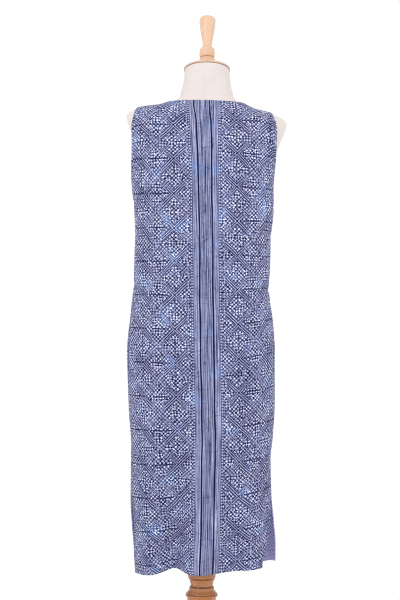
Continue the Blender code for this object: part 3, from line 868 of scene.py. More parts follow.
@dataclass(frozen=True)
class TurnedWood:
    """Varnished wood with grain along its length, and painted shade: darker lines at its turned grooves and
    joins.
    """

    name: str
    light: Colour
    dark: Colour
    groove: Colour
    roughness: float
    grooves: tuple[float, ...] = ()
    groove_half: float = 1.7 * MM
    coat: float = 0.22
    coat_roughness: float = 0.22
    ring_pitch: float = 5.2
    relief: float = 0.12 * MM

    def material(self, foot: Vector, tilt: float) -> bpy.types.Material:
        """Build the wood's material.

        Args:
            foot: Where the grain's axis starts, which is where the grooves' heights count from.
            tilt: How far that axis leans forward.

        Returns:
            The material.
        """
        make = Finish(self.name, self.roughness)
        feed(make.shader, {"Coat Weight": self.coat, "Coat Roughness": self.coat_roughness})
        x, y, z = (place - start / MM for place, start in zip(make.place(), foot))
        along = z * math.cos(tilt) + y * math.sin(tilt)
        side = y * math.cos(tilt) - z * math.sin(tilt)
        bend = make.noise(x * 0.02, side * 0.02, along * 0.006)
        rings = (x * 0.9 + side * 0.35 + bend * 46.0).wave(self.ring_pitch)
        pores = make.noise(x * 1.1, side * 1.1, along * 0.045, detail=3.0, roughness=0.6)
        cloud = make.noise(x * 0.03, side * 0.03, along * 0.012)
        grain = rings * 0.38 + pores.rise(0.42, 0.72) * 0.42 + cloud.rise(0.4, 0.7) * 0.3
        colour = make.blend(grain, self.light, self.dark)
        # Painted shade: darker bands at the listed heights, where the turned grooves and joins fall into
        # shade
        cut = along * 0.0
        for height in self.grooves:
            line = abs(along - height / MM).rise(self.groove_half / MM * 1.5, self.groove_half / MM * 0.5)
            cut = cut.most(line)
        colour = make.blend(cut * 0.85, colour, self.groove)
        rough = pores * 0.12 + (self.roughness - 0.06)
        return make.finish(colour, grain * 0.4 + pores * 0.4, self.relief, rough)


# Each wood's third colour is its painted groove shade, laid at the heights after its roughness
CAP_WOOD = TurnedWood(
    "cap_wood", (0.74, 0.55, 0.42), (0.60, 0.40, 0.28), (0.34, 0.18, 0.09), 0.42, (0.0006,)
)
FINIAL_WOOD = TurnedWood(
    "finial_wood", (0.83, 0.57, 0.40), (0.69, 0.41, 0.25), (0.52, 0.21, 0.06), 0.34, (0.0262,)
)
POST_WOOD = TurnedWood(
    "post_wood", (0.62, 0.270, 0.098), (0.41, 0.150, 0.048), (0.19, 0.045, 0.009), 0.40,
    (0.2586, 0.2384, 0.2198, 0.298, 0.066), 2.0 * MM,
)
BASE_WOOD = TurnedWood("base_wood", (0.58, 0.275, 0.11), (0.38, 0.155, 0.056), (0.12, 0.038, 0.015), 0.38)


@dataclass(frozen=True)
class PaleFloor:
    """A plain pale studio floor."""

    tone: Colour = (0.86, 0.86, 0.86)
    grain: Colour = (0.82, 0.82, 0.82)
    relief: float = 0.05 * MM

    def material(self) -> bpy.types.Material:
        """Build the floor's material."""
        make = Finish("pale_floor", 0.9)
        x, y, _ = make.place()
        grain = make.noise(x * 0.05, y * 0.05, detail=3.0)
        colour = make.blend(grain * 0.15, self.tone, self.grain)
        return make.finish(colour, grain, self.relief)


@dataclass(frozen=True)
class SewingThread:
    """Matt indigo sewing thread."""

    dark: Colour = (0.10, 0.11, 0.26)
    light: Colour = (0.20, 0.22, 0.42)
    twist_pitch: float = 0.5
    relief: float = 0.05 * MM

    def material(self) -> bpy.types.Material:
        """Build the thread's material."""
        make = Finish("sewing_thread", 0.8, 0.05, 0.2)
        x, y, z = make.place()
        twist = (x + y + z * 2.0).wave(self.twist_pitch)
        colour = make.blend(twist * 0.5, self.dark, self.light)
        return make.finish(colour, twist, self.relief)


# Modelling by hand


def clear_selection() -> None:
    """Leave edit mode and deselect everything."""
    if bpy.context.object and bpy.context.object.mode != "OBJECT":
        bpy.ops.object.mode_set(mode="OBJECT")
    bpy.ops.object.select_all(action="DESELECT")


def name_piece(name: str) -> bpy.types.Object:
    """Name the active object and its mesh."""
    piece = bpy.context.object
    piece.name = name
    piece.data.name = name
    return piece


def seat(piece: bpy.types.Object, slot: str, *nodes: str) -> None:
    """Fix a finished piece to the model.

    Args:
        piece: The piece.
        slot: The material slot of the record that it takes its finish from; not used.
        nodes: The solids that it stands for.
    """
    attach(piece, "root")
    if nodes:
        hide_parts(*nodes)
    triangles = sum(len(face.vertices) - 2 for face in piece.data.polygons)
    LOG.info("%s: %d triangles", piece.name, triangles)


def apply_modifiers(piece: bpy.types.Object) -> None:
    """Apply every modifier of a piece, in order."""
    clear_selection()
    piece.select_set(True)
    bpy.context.view_layer.objects.active = piece
    for modifier in list(piece.modifiers):
        bpy.ops.object.modifier_apply(modifier=modifier.name)


def apply_transform() -> None:
    """Set the active object's place and turn into its mesh."""
    bpy.ops.object.transform_apply(location=True, rotation=True, scale=True)


# About how many of a sheet's faces are asked which way they look
FACES_ASKED = 400

# How far a ring's points may lie under their level and still count as on it
LEVEL_SLACK = 1e-5

# Points of a turned piece that are nearer than this become one
WELD = 0.00002

# Edges that bend less than this are shaded smooth
TORSO_SMOOTH = math.radians(40)
TURNED_SMOOTH = math.radians(48)


@dataclass
class ClothSheet:
    """A rectangular grid of cloth, laid on rows of points and given its thickness inwards."""

    name: str
    points: np.ndarray
    flat: np.ndarray
    doubled: np.ndarray
    thickness: float

    def build(self, outer: bpy.types.Material, inner: bpy.types.Material) -> bpy.types.Object:
        """Lay a grid over the points and thicken it.

        Args:
            outer: The material of the face that looks outwards.
            inner: The material of the inner face and the cut edges.

        Returns:
            The sheet, with its modifiers applied.
        """
        rows, columns = self.points.shape[:2]
        clear_selection()
        bpy.ops.mesh.primitive_grid_add(x_subdivisions=columns - 1, y_subdivisions=rows - 1, size=2.0)
        sheet = name_piece(self.name)
        mesh = sheet.data
        mesh.vertices.foreach_set("co", self.points.reshape(-1))
        uv = mesh.uv_layers.active
        uv.name = BatikCotton.uv
        corners = np.empty(len(mesh.loops), dtype=np.int32)
        mesh.loops.foreach_get("vertex_index", corners)
        uv.data.foreach_set("uv", self.flat.reshape(-1, 2)[corners].reshape(-1))
        if not self._faces_out(mesh):
            mesh.flip_normals()
        group = sheet.vertex_groups.new(name="doubled")
        for index, weight in enumerate(self.doubled.reshape(-1)):
            group.add([index], float(weight), "REPLACE")
        mesh.materials.append(outer)
        mesh.materials.append(inner)
        mesh.shade_smooth()
        wall = sheet.modifiers.new("wall", "SOLIDIFY")
        wall.thickness = self.thickness
        wall.offset = -1.0
        wall.vertex_group = "doubled"
        wall.material_offset = 1
        wall.material_offset_rim = 1
        apply_modifiers(sheet)
        return sheet

    @staticmethod
    def _faces_out(mesh: bpy.types.Mesh) -> bool:
        """Tell whether the grid's faces look away from the garment's middle, as they should."""
        total = 0.0
        for face in list(mesh.polygons)[:: max(1, len(mesh.polygons) // FACES_ASKED)]:
            total += face.normal.x * face.center.x + face.normal.y * face.center.y
        return total > 0


@dataclass
class DressPanel:
    """The back or the front of the dress, cut in one piece from shoulder to hem."""

    side: Side
    shape: DressShape
    shoulder_columns: int = 38
    neck_columns: int = 98
    hem_rows: int = 12
    hem_band: float = 0.030
    skirt_rows: int = 136
    upper_rows: int = 66
    cloth: float = 1.4 * MM
    single: float = 0.5
    hem_depth: float = 0.024
    edge_depth: float = 0.009
    roll: float = 0.7 * MM
    dimple: float = 0.35 * MM
    roll_reach: float = 2.2 * MM
    dimple_reach: float = 1.6 * MM
    clear_of_form: float = 2.1 * MM
    free_room: float = 0.05
    crease_fade: float = 1.4
    crease_bow: float = 6
    arc_samples: int = 24
    points: np.ndarray | None = None
    flat: np.ndarray | None = None

    def lay_out(self) -> None:
        """Work out the panel's points, its flat map and its creases."""
        columns = 2 * self.shoulder_columns + self.neck_columns
        shares = np.linspace(0, 1, columns + 1)
        levels = self._levels()
        rows = [self._skirt_row(level, shares) for level in levels]
        start = rows[-1][:, 0]
        top = self.shape.top_edge(self.side, self.shoulder_columns, self.neck_columns)
        for step in np.linspace(0, 1, self.upper_rows + 1)[1:]:
            rows.append(self._upper_row(start, top, step))
        self.points = np.array(rows)
        self.flat = self._flat_map(len(levels))
        self._press_creases()
        self._finish_edges()
        self.points[:, :, 2] = lean(self.points[:, :, 0], self.points[:, :, 2])

    def _levels(self) -> list[float]:
        """Give the heights of the skirt's rows, close together in the hem."""
        hem = np.linspace(HEM, HEM + self.hem_band, self.hem_rows + 1)
        return list(hem) + list(np.linspace(HEM + self.hem_band, UNDERARM, self.skirt_rows + 1)[1:])

    def _skirt_row(self, level: float, shares: np.ndarray) -> np.ndarray:
        """Give the points of a row below the underarm."""
        step = (level - HEM) / (UNDERARM - HEM)
        row = []
        for share, (x, y) in zip(shares, self.shape.level_row(level, self.side, shares)):
            push, lift = self.shape.fold_at(self.side, x, level)
            away = np.array([x * FOLD_SPREAD, y])
            away = away / np.hypot(*away)
            raised = level + (self.shape.hem_rise(self.side, share) + lift) * (1 - step) ** 3
            row.append((x + push * away[0], y + push * away[1], raised))
        return np.array(row)

    def _upper_row(self, start: np.ndarray, top: list[tuple[float, float]], step: float) -> np.ndarray:
        """Give the points of a row above the underarm."""
        row = []
        for (x_end, z_end), x_start in zip(top, start):
            z = UNDERARM + (z_end - UNDERARM) * math.sin(step * math.pi / 2)
            x = self.shape.upper_x(x_start, x_end, z, ease(step))
            row.append((x, float(self.shape.section(z).depth_at(x, self.side, SEAM_GAP / 2)), z))
        return np.array(row)

    def _band_line(self, z: float) -> float:
        """Give x of the pattern's middle band, which drifts a little to the right on its way down."""
        heights, places = zip(*BAND_LINE)
        return float(np.interp(z / MM, heights, places)) * MM

    def _flat_map(self, skirt_count: int) -> np.ndarray:
        """Give each point's place on the flat cloth: across from the band and up from the hem."""
        points = self.points
        flat = np.zeros(points.shape[:2] + (2,))
        middle = points.shape[1] // 2
        flat[:skirt_count, :, 1] = distance_along(points[:skirt_count, middle])[:, None]
        for i in range(skirt_count):
            along = distance_along(points[i])
            flat[i, :, 0] = along - np.interp(self._band_line(points[i, middle, 2]), points[i, :, 0], along)
        for i in range(skirt_count, len(points)):
            for j, (x, y, z) in enumerate(points[i]):
                section = self.shape.section(z)
                line = np.linspace(self._band_line(z), x, self.arc_samples)
                depths = section.depth_at(line, self.side, SEAM_GAP / 2)
                arc = np.hypot(np.diff(line), np.diff(depths)).sum()
                flat[i, j, 0] = math.copysign(arc, x - line[0])
                below = points[i - 1, j]
                before = self.shape.section(below[2]).depth_at(x, self.side, SEAM_GAP / 2)
                flat[i, j, 1] = flat[i - 1, j, 1] + math.hypot(z - below[2], y - float(before))
        return flat

    def normals(self) -> np.ndarray:
        """Give the outward arrow, one unit long, at every point."""
        along = np.gradient(self.points, axis=1)
        up = np.gradient(self.points, axis=0)
        normals = np.cross(along, up)
        normals /= np.linalg.norm(normals, axis=2, keepdims=True)
        towards = 1.0 if self.side is Side.FRONT else -1.0
        middle = normals[:, normals.shape[1] // 2, 1].mean()
        return normals * math.copysign(1.0, middle * towards)

    def _room_inwards(self) -> np.ndarray:
        """Give how far each point may move inwards and stay clear of the form."""
        room = np.full(self.points.shape[:2], self.free_room)
        for i, row in enumerate(self.points):
            for j, (x, y, z) in enumerate(row):
                if z < FORM_ROWS[0].height * MM:
                    continue
                form = self.shape.form.section(z)
                if abs(x) < form.half_width:
                    near = float(form.depth_at(x, self.side, 0.0))
                    room[i, j] = max(abs(y - near) - self.clear_of_form, 0.0)
        return room

    def _press_creases(self) -> None:
        """Push the creases into the cloth, or out of it."""
        x, z = self.points[:, :, 0] / MM, self.points[:, :, 2] / MM
        push = np.zeros(x.shape)
        for crease in CREASES[self.side]:
            turn = math.radians(crease.slope)
            along = (x - crease.x) * math.cos(turn) + (z - crease.z) * math.sin(turn)
            aside = (z - crease.z) * math.cos(turn) - (x - crease.x) * math.sin(turn)
            aside = aside - along**2 / (crease.length * self.crease_bow)
            fade = np.exp(-((along / crease.length) ** 2) * self.crease_fade)
            push += crease.depth * MM * np.exp(-((aside / crease.width) ** 2)) * fade
        push = np.maximum(push, -self._room_inwards())
        self.points = self.points + self.normals() * push[:, :, None]

    def edge_distances(self) -> dict[str, np.ndarray]:
        """Give each point's distance along the cloth from the hem, the top and both side edges."""
        u, v = self.flat[:, :, 0], self.flat[:, :, 1]
        return {
            "hem": v - v[:1],
            "top": v[-1:] - v,
            "left": u - u[:, :1],
            "right": u[:, -1:] - u,
        }

    def _finish_edges(self) -> None:
        """Roll the cut edges in and dimple the cloth along its lines of stitches."""

        def ridge(distance: np.ndarray, reach: float) -> np.ndarray:
            """Give a soft ridge, 1 high where a distance is 0."""
            return np.exp(-((distance / reach) ** 2))

        gap = self.edge_distances()
        push = -self.roll * ridge(np.minimum.reduce(list(gap.values())), self.roll_reach)
        push -= self.dimple * ridge(gap["hem"] - self.hem_depth, self.dimple_reach)
        push -= self.dimple * ridge(gap["top"] - self.edge_depth, self.dimple_reach)
        for hand in Hand:
            line = ridge(gap[hand.value] - self.edge_depth, self.dimple_reach)
            push -= self.dimple * line * self._open_edges()
        self.points = self.points + self.normals() * push[:, :, None]

    def _open_edges(self) -> np.ndarray:
        """Tell which points lie at the heights of an armhole or a vent."""
        heights = self.points[:, :, 2]
        return (heights > UNDERARM) | (heights < VENT_TOP)

    def doubled(self) -> np.ndarray:
        """Give 1 where the hems fold the cloth double, and the single share elsewhere."""
        gap = self.edge_distances()
        sides = (np.minimum(gap["left"], gap["right"]) < self.edge_depth) & self._open_edges()
        folded = (gap["hem"] < self.hem_depth) | (gap["top"] < self.edge_depth) | sides
        return np.where(folded, 1.0, self.single)

    def area(self) -> float:
        """Give the area of the panel's laid cloth."""
        first = self.points[1:, 1:] - self.points[:-1, :-1]
        second = self.points[1:, :-1] - self.points[:-1, 1:]
        return float(np.linalg.norm(np.cross(first, second), axis=2).sum() / 2)

    def build(self, outer: bpy.types.Material, inner: bpy.types.Material) -> bpy.types.Object:
        """Lay out the panel and make its cloth."""
        self.lay_out()
        name = f"{self.side.value}_panel"
        sheet = ClothSheet(name, self.points, self.flat, self.doubled(), self.cloth)
        return sheet.build(outer, inner)


@dataclass
class StitchLine:
    """A row of short stitches that lies on a panel."""

    name: str
    stitch: float = 2.6 * MM
    pitch: float = 3.6 * MM
    half: float = 0.28 * MM
    sides: int = 5
    body_share: float = 0.6
    end_share: float = 0.2
    end_narrows: float = 0.4

    def build(self, lines: list[np.ndarray], thread: bpy.types.Material) -> bpy.types.Object:
        """Lay stitches along lines.

        Args:
            lines: Each line's points.
            thread: The thread's material.

        Returns:
            All the stitches as one mesh.
        """
        pattern = self._one_stitch()
        reach = (-self.stitch / 2, self.stitch / 2)
        body = bmesh.new()
        for line in lines:
            along = distance_along(line)
            for k in range(int(along[-1] // self.pitch)):
                middle = (k + 0.5) * self.pitch
                start, end = (self._at(line, along, middle + half) for half in reach)
                turned = (end - start).to_track_quat("X", "Z").to_matrix().to_4x4()
                copied = pattern.data.copy()
                copied.transform(Matrix.Translation((start + end) / 2) @ turned)
                body.from_mesh(copied)
                bpy.data.meshes.remove(copied)
        mesh = bpy.data.meshes.new(self.name)
        body.to_mesh(mesh)
        body.free()
        bpy.data.objects.remove(pattern, do_unlink=True)
        mesh.materials.append(thread)
        mesh.shade_smooth()
        stitches = bpy.data.objects.new(self.name, mesh)
        bpy.context.scene.collection.objects.link(stitches)
        return stitches

    @staticmethod
    def _at(line: np.ndarray, along: np.ndarray, place: float) -> Vector:
        """Give the point at a distance along a line."""
        return Vector([float(np.interp(place, along, line[:, i])) for i in range(3)])

    def _one_stitch(self) -> bpy.types.Object:
        """Model one stitch as a short round bar with drawn-in ends, along X."""
        clear_selection()
        bpy.ops.mesh.primitive_cylinder_add(
            vertices=self.sides, radius=self.half, depth=self.stitch * self.body_share, end_fill_type="NGON",
            rotation=(0.0, math.pi / 2, 0.0),
        )
        stitch = name_piece("one_stitch")
        apply_transform()
        bpy.ops.object.mode_set(mode="EDIT")
        for end in (-1, 1):
            body = bmesh.from_edit_mesh(stitch.data)
            for face in body.faces:
                face.select_set(face.normal.x * end > 0.9)
            body.select_flush_mode()
            bmesh.update_edit_mesh(stitch.data)
            move = (end * self.stitch * self.end_share, 0.0, 0.0)
            bpy.ops.mesh.extrude_region_move(TRANSFORM_OT_translate={"value": move})
            bpy.ops.transform.resize(value=(1.0, self.end_narrows, self.end_narrows))
        bpy.ops.object.mode_set(mode="OBJECT")
        return stitch


@dataclass
class Dress:
    """The sheath dress: two panels, their stitches and two pocket bags."""

    form: FormShape
    bag_drop: float = 0.085
    bag_rise: float = 0.020
    bag_across: float = 0.092
    bag_thickness: float = 1.6 * MM
    bag_gap: float = 0.9 * MM
    stitch_lift: float = 0.12 * MM
    corner_columns: int = 4
    corner_rows: int = 3

    def build(self) -> None:
        """Build and dress every piece of the garment."""
        shape = DressShape(self.form)
        cotton = BatikCotton()
        outer = cotton.material(ClothFace.RIGHT_SIDE)
        inner = cotton.material(ClothFace.WRONG_SIDE)
        thread = SewingThread().material()
        panels = {side: DressPanel(side, shape) for side in Side}
        for side, panel in panels.items():
            cloth = panel.build(outer, inner)
            seat(cloth, "batik_cotton", f"dress_{side.value}")
            stitches = StitchLine(f"{side.value}_stitches").build(self._stitch_lines(panel), thread)
            seat(stitches, "batik_cotton")
            area = panel.area()
        for hand in Hand:
            self._pocket(hand, panels[Side.FRONT], inner)

    def _stitch_lines(self, panel: DressPanel) -> list[np.ndarray]:
        """Give the lines of stitches: hem, neck and shoulders, armholes and vents."""
        lifted = panel.points + panel.normals() * self.stitch_lift
        gap = panel.edge_distances()
        heights = panel.points[:, :, 2]
        lines = []
        hem_row = int(np.argmin(np.abs(gap["hem"][:, 0] - panel.hem_depth)))
        lines.append(lifted[hem_row, self.corner_columns : -self.corner_columns])
        first = panel.shoulder_columns
        neck = slice(first, first + panel.neck_columns + 1)
        depth = np.argmin(np.abs(gap["top"][:, neck] - panel.edge_depth), axis=0)
        lines.append(lifted[depth, np.arange(neck.start, neck.stop)])
        rows = np.arange(len(heights))
        for hand in Hand:
            column = np.argmin(np.abs(gap[hand.value] - panel.edge_depth), axis=1)
            line = lifted[rows, column]
            edge = heights[rows, 0 if hand is Hand.LEFT else -1]
            lines.append(line[(edge > UNDERARM) & (rows < len(rows) - self.corner_rows)])
            lines.append(line[(edge < VENT_TOP) & (rows > hem_row)])
        return lines

    def _pocket(self, hand: Hand, front: DressPanel, cotton: bpy.types.Material) -> None:
        """Hang a pocket bag, pressed flat, inside the front panel by its side seam."""
        heights = front.points[:, 0, 2]
        wanted = (heights > POCKET_LOW - self.bag_drop) & (heights < POCKET_HIGH + self.bag_rise)
        rows = np.nonzero(wanted)[0]
        inset = front.points - front.normals() * (front.cloth + self.bag_gap)
        across = front.edge_distances()[hand.value][rows[0]]
        columns = np.nonzero(across < self.bag_across)[0]
        points = inset[np.ix_(rows, columns)]
        bag = ClothSheet(
            f"pocket_bag_{hand.value}", points, front.flat[np.ix_(rows, columns)],
            np.ones(points.shape[:2]), self.bag_thickness,
        ).build(cotton, cotton)
        seat(bag, "batik_cotton", f"pocket_{hand.value}")


@dataclass
class DressForm:
    """The limbless form: a covered torso with a sloping wooden neck cap and a turned finial."""

    # The turns of the cover's seams, and of the extra points on either side of each
    SEAM_TURNS = (0.0, math.pi / 2, math.pi, 3 * math.pi / 2)
    BESIDE_SEAM = (-0.016, -0.008, 0.008, 0.016)

    shape: FormShape
    points_round: int = 176
    ring_radius: float = 0.15
    level_step: float = 0.0052
    bottom_rounding: float = 0.030
    bottom_step: float = 0.0016
    shoulders_from: float = 1.362
    shoulders_to: float = 1.455
    shoulders_step: float = 0.0022
    least_radius: float = 0.01
    neck_top: float = 1.505
    neck_forward: float = 0.032
    tilt: float = math.radians(14.5)
    tilt_starts: float = 1.462
    seam_depth: float = 0.55 * MM
    seam_half: float = 0.9 * MM
    cap_radius: float = 0.0568
    cap_thickness: float = 0.007

    def build(self) -> None:
        """Build and dress the torso, cap and finial."""
        cover = FormCover().material()
        torso = self._torso()
        torso.data.materials.append(cover)
        seat(torso, "form_cover", "form_torso")
        self._cap()
        self._finial()

    def _ring_turns(self) -> np.ndarray:
        """Give the turns of a ring's points, close together at the seams."""
        turns = list(np.linspace(0, 2 * math.pi, self.points_round, endpoint=False))
        for seam in self.SEAM_TURNS:
            turns += [(seam + step) % (2 * math.pi) for step in self.BESIDE_SEAM]
        return np.array(sorted(turns))

    def _levels(self) -> list[float]:
        """Give the heights of the rings: even, and closer in the rounded bottom and shoulders."""
        bottom, top = FORM_ROWS[0].height * MM, self.neck_top
        levels = list(np.arange(bottom, top, self.level_step))
        for low, high, step in (
            (bottom, bottom + self.bottom_rounding, self.bottom_step),
            (self.shoulders_from, self.shoulders_to, self.shoulders_step),
        ):
            levels = [z for z in levels if not low <= z <= high]
            levels += list(np.arange(low, high, step))
        return sorted(levels) + [top]

    def _torso(self) -> bpy.types.Object:
        """Extrude a ring of the primitive circle from level to level, then shape every ring."""
        turns = self._ring_turns()
        levels = self._levels()
        clear_selection()
        bpy.ops.mesh.primitive_circle_add(
            vertices=len(turns), radius=self.ring_radius, location=(0, 0, levels[0])
        )
        torso = name_piece("torso")
        apply_transform()
        bpy.ops.object.mode_set(mode="EDIT")
        bpy.ops.mesh.select_all(action="SELECT")
        for low, high in zip(levels, levels[1:]):
            bpy.ops.mesh.extrude_region_move(TRANSFORM_OT_translate={"value": (0, 0, high - low)})
        bpy.ops.object.mode_set(mode="OBJECT")
        mesh = torso.data
        rings = np.array([self._ring(z, turns) for z in levels])
        places = np.empty(len(mesh.vertices) * 3)
        mesh.vertices.foreach_get("co", places)
        places = places.reshape(-1, 3)
        order = np.argsort(np.arctan2(places[:, 0], places[:, 1]) % (2 * math.pi), kind="stable")
        rank = np.searchsorted(np.array(levels) - LEVEL_SLACK, places[:, 2]) - 1
        for i in range(len(levels)):
            inside = [k for k in order if rank[k] == i]
            places[inside] = rings[i]
        mesh.vertices.foreach_set("co", places.reshape(-1))
        bpy.ops.object.mode_set(mode="EDIT")
        for bottom in (True, False):
            self._close_ring(mesh, bottom)
        bpy.ops.mesh.select_all(action="SELECT")
        bpy.ops.mesh.normals_make_consistent(inside=False)
        bpy.ops.object.mode_set(mode="OBJECT")
        bpy.ops.object.shade_smooth_by_angle(angle=TORSO_SMOOTH)
        return torso

    @staticmethod
    def _close_ring(mesh: bpy.types.Mesh, bottom: bool) -> None:
        """Fill the open ring at the bottom or the top with one face."""
        body = bmesh.from_edit_mesh(mesh)
        for vertex in body.verts:
            vertex.select_set(False)
        open_edges = [edge for edge in body.edges if edge.is_boundary]
        middle = (FORM_ROWS[0].height + FORM_ROWS[-1].height) / 2 * MM
        for edge in open_edges:
            edge.select_set(bool((edge.verts[0].co.z < middle) == bottom))
        bmesh.update_edit_mesh(mesh)
        bpy.ops.mesh.edge_face_add()

    def _ring(self, z: float, turns: np.ndarray) -> np.ndarray:
        """Give a ring's points, sloping forward at the neck and sunk a little at the seams."""
        section = self.shape.section(z)
        slope = math.tan(self.tilt) * ease((z - self.tilt_starts) / (self.neck_top - self.tilt_starts))
        ring = []
        for turn in turns:
            x, y = section.point(turn)
            aside = min(abs((turn - seam + math.pi) % (2 * math.pi) - math.pi) for seam in self.SEAM_TURNS)
            sunk = self.seam_depth * math.exp(-((aside * math.hypot(x, y) / self.seam_half) ** 2))
            shrink = 1 - sunk / max(math.hypot(x, y), self.least_radius)
            height = z - (y - section.forward) * slope
            ring.append((x * shrink, y * shrink, float(lean(x, height))))
        return np.array(ring)

    def _cap(self) -> None:
        """Turn the thin wooden disc that closes the neck."""
        edge, foot_edge = 2.6 * MM, 1.2 * MM
        crown = arc((self.cap_radius - edge, self.cap_thickness - edge), edge, 90, 0, 8)
        lower = arc((self.cap_radius - foot_edge, foot_edge), foot_edge, 0, -90, 4)
        profile = [(0.0, self.cap_thickness), *crown, *lower, (0.0, 0.0)]
        foot = self._up_neck(PIECE_GAP)
        cap = turned("neck_disc", profile, 128, foot, self.tilt)
        cap.data.materials.append(CAP_WOOD.material(foot, self.tilt))
        seat(cap, "pale_wood", "neck_cap")

    def _up_neck(self, distance: float) -> Vector:
        """Give the point this far up the neck's axis from its top."""
        return Vector((
            0.0,
            self.neck_forward + math.sin(self.tilt) * distance,
            self.neck_top + math.cos(self.tilt) * distance,
        ))

    def _finial(self) -> None:
        """Turn the finial: a domed spindle that narrows down to a bead on a foot."""
        top = 0.138
        knots = [(radius, top - below) for radius, below in (
            (0.0, 0.0), (0.0048, 0.0003), (0.0085, 0.0010), (0.0122, 0.0022), (0.0150, 0.0035),
            (0.0174, 0.0053), (0.0190, 0.0075), (0.0198, 0.0098), (0.0200, 0.0120), (0.0197, 0.0185),
            (0.0190, 0.0260), (0.0171, 0.0390), (0.0150, 0.0520), (0.0126, 0.0660), (0.0109, 0.0770),
            (0.0105, 0.0810),
        )]
        knots += [
            (0.0112, 0.0548), (0.0138, 0.0538), (0.0160, 0.0520), (0.0177, 0.0492),
            (0.0188, 0.0455), (0.0194, 0.0410), (0.0194, 0.0370), (0.0190, 0.0325),
            (0.0182, 0.0290), (0.0170, 0.0272), (0.0166, 0.0262), (0.0172, 0.0252),
            (0.0188, 0.0240), (0.0191, 0.0225), (0.0190, 0.0050), (0.0192, 0.0030),
            (0.0205, 0.0010), (0.0205, 0.0), (0.0, 0.0),
        ]
        foot = self._up_neck(self.cap_thickness + 2 * PIECE_GAP)
        finial = turned("finial_spindle", knots, 64, foot, self.tilt)
        finial.data.materials.append(FINIAL_WOOD.material(foot, self.tilt))
        seat(finial, "pale_wood", "finial")


def arc(
    centre: tuple[float, float], radius: float, start: float, end: float, count: int
) -> list[tuple[float, float]]:
    """Give points on an arc of a profile.

    Args:
        centre: The arc's middle, as a radius and a height.
        radius: The arc's own radius.
        start: Its first angle in degrees.
        end: Its last angle.
        count: How many points it has.

    Returns:
        The points, each a radius and a height.
    """
    angles = np.radians(np.linspace(start, end, count))
    return [(centre[0] + radius * math.cos(a), centre[1] + radius * math.sin(a)) for a in angles]


def turned(
    name: str, profile: Sequence[tuple[float, float]], steps: int, foot: Vector, tilt: float = 0.0
) -> bpy.types.Object:
    """Turn a piece: extrude a profile point by point, spin it round Z and stand it in its place.

    Args:
        name: The piece's name.
        profile: Radius and height of each point, from top to bottom; it starts and ends on the axis.
        steps: How many steps go round.
        foot: Where the axis meets the piece's foot.
        tilt: How far the axis leans forward.

    Returns:
        The closed piece.
    """
    clear_selection()
    bpy.ops.mesh.primitive_plane_add(size=0.001)
    piece = name_piece(name)
    bpy.ops.object.mode_set(mode="EDIT")
    bpy.ops.mesh.select_all(action="SELECT")
    bpy.ops.mesh.merge(type="CENTER")
    bpy.ops.transform.translate(value=(profile[0][0], 0.0, profile[0][1]))
    for (radius, height), (next_radius, next_height) in zip(profile, profile[1:]):
        move = (next_radius - radius, 0.0, next_height - height)
        bpy.ops.mesh.extrude_region_move(TRANSFORM_OT_translate={"value": move})
    bpy.ops.mesh.select_all(action="SELECT")
    bpy.ops.mesh.spin(steps=steps, dupli=False, angle=2 * math.pi, center=(0, 0, 0), axis=(0, 0, 1))
    bpy.ops.mesh.select_all(action="SELECT")
    bpy.ops.mesh.remove_doubles(threshold=WELD)
    bpy.ops.mesh.normals_make_consistent(inside=False)
    bpy.ops.object.mode_set(mode="OBJECT")
    piece.rotation_euler.x = -tilt
    piece.location = foot
    apply_transform()
    bpy.ops.object.shade_smooth_by_angle(angle=TURNED_SMOOTH)
    return piece


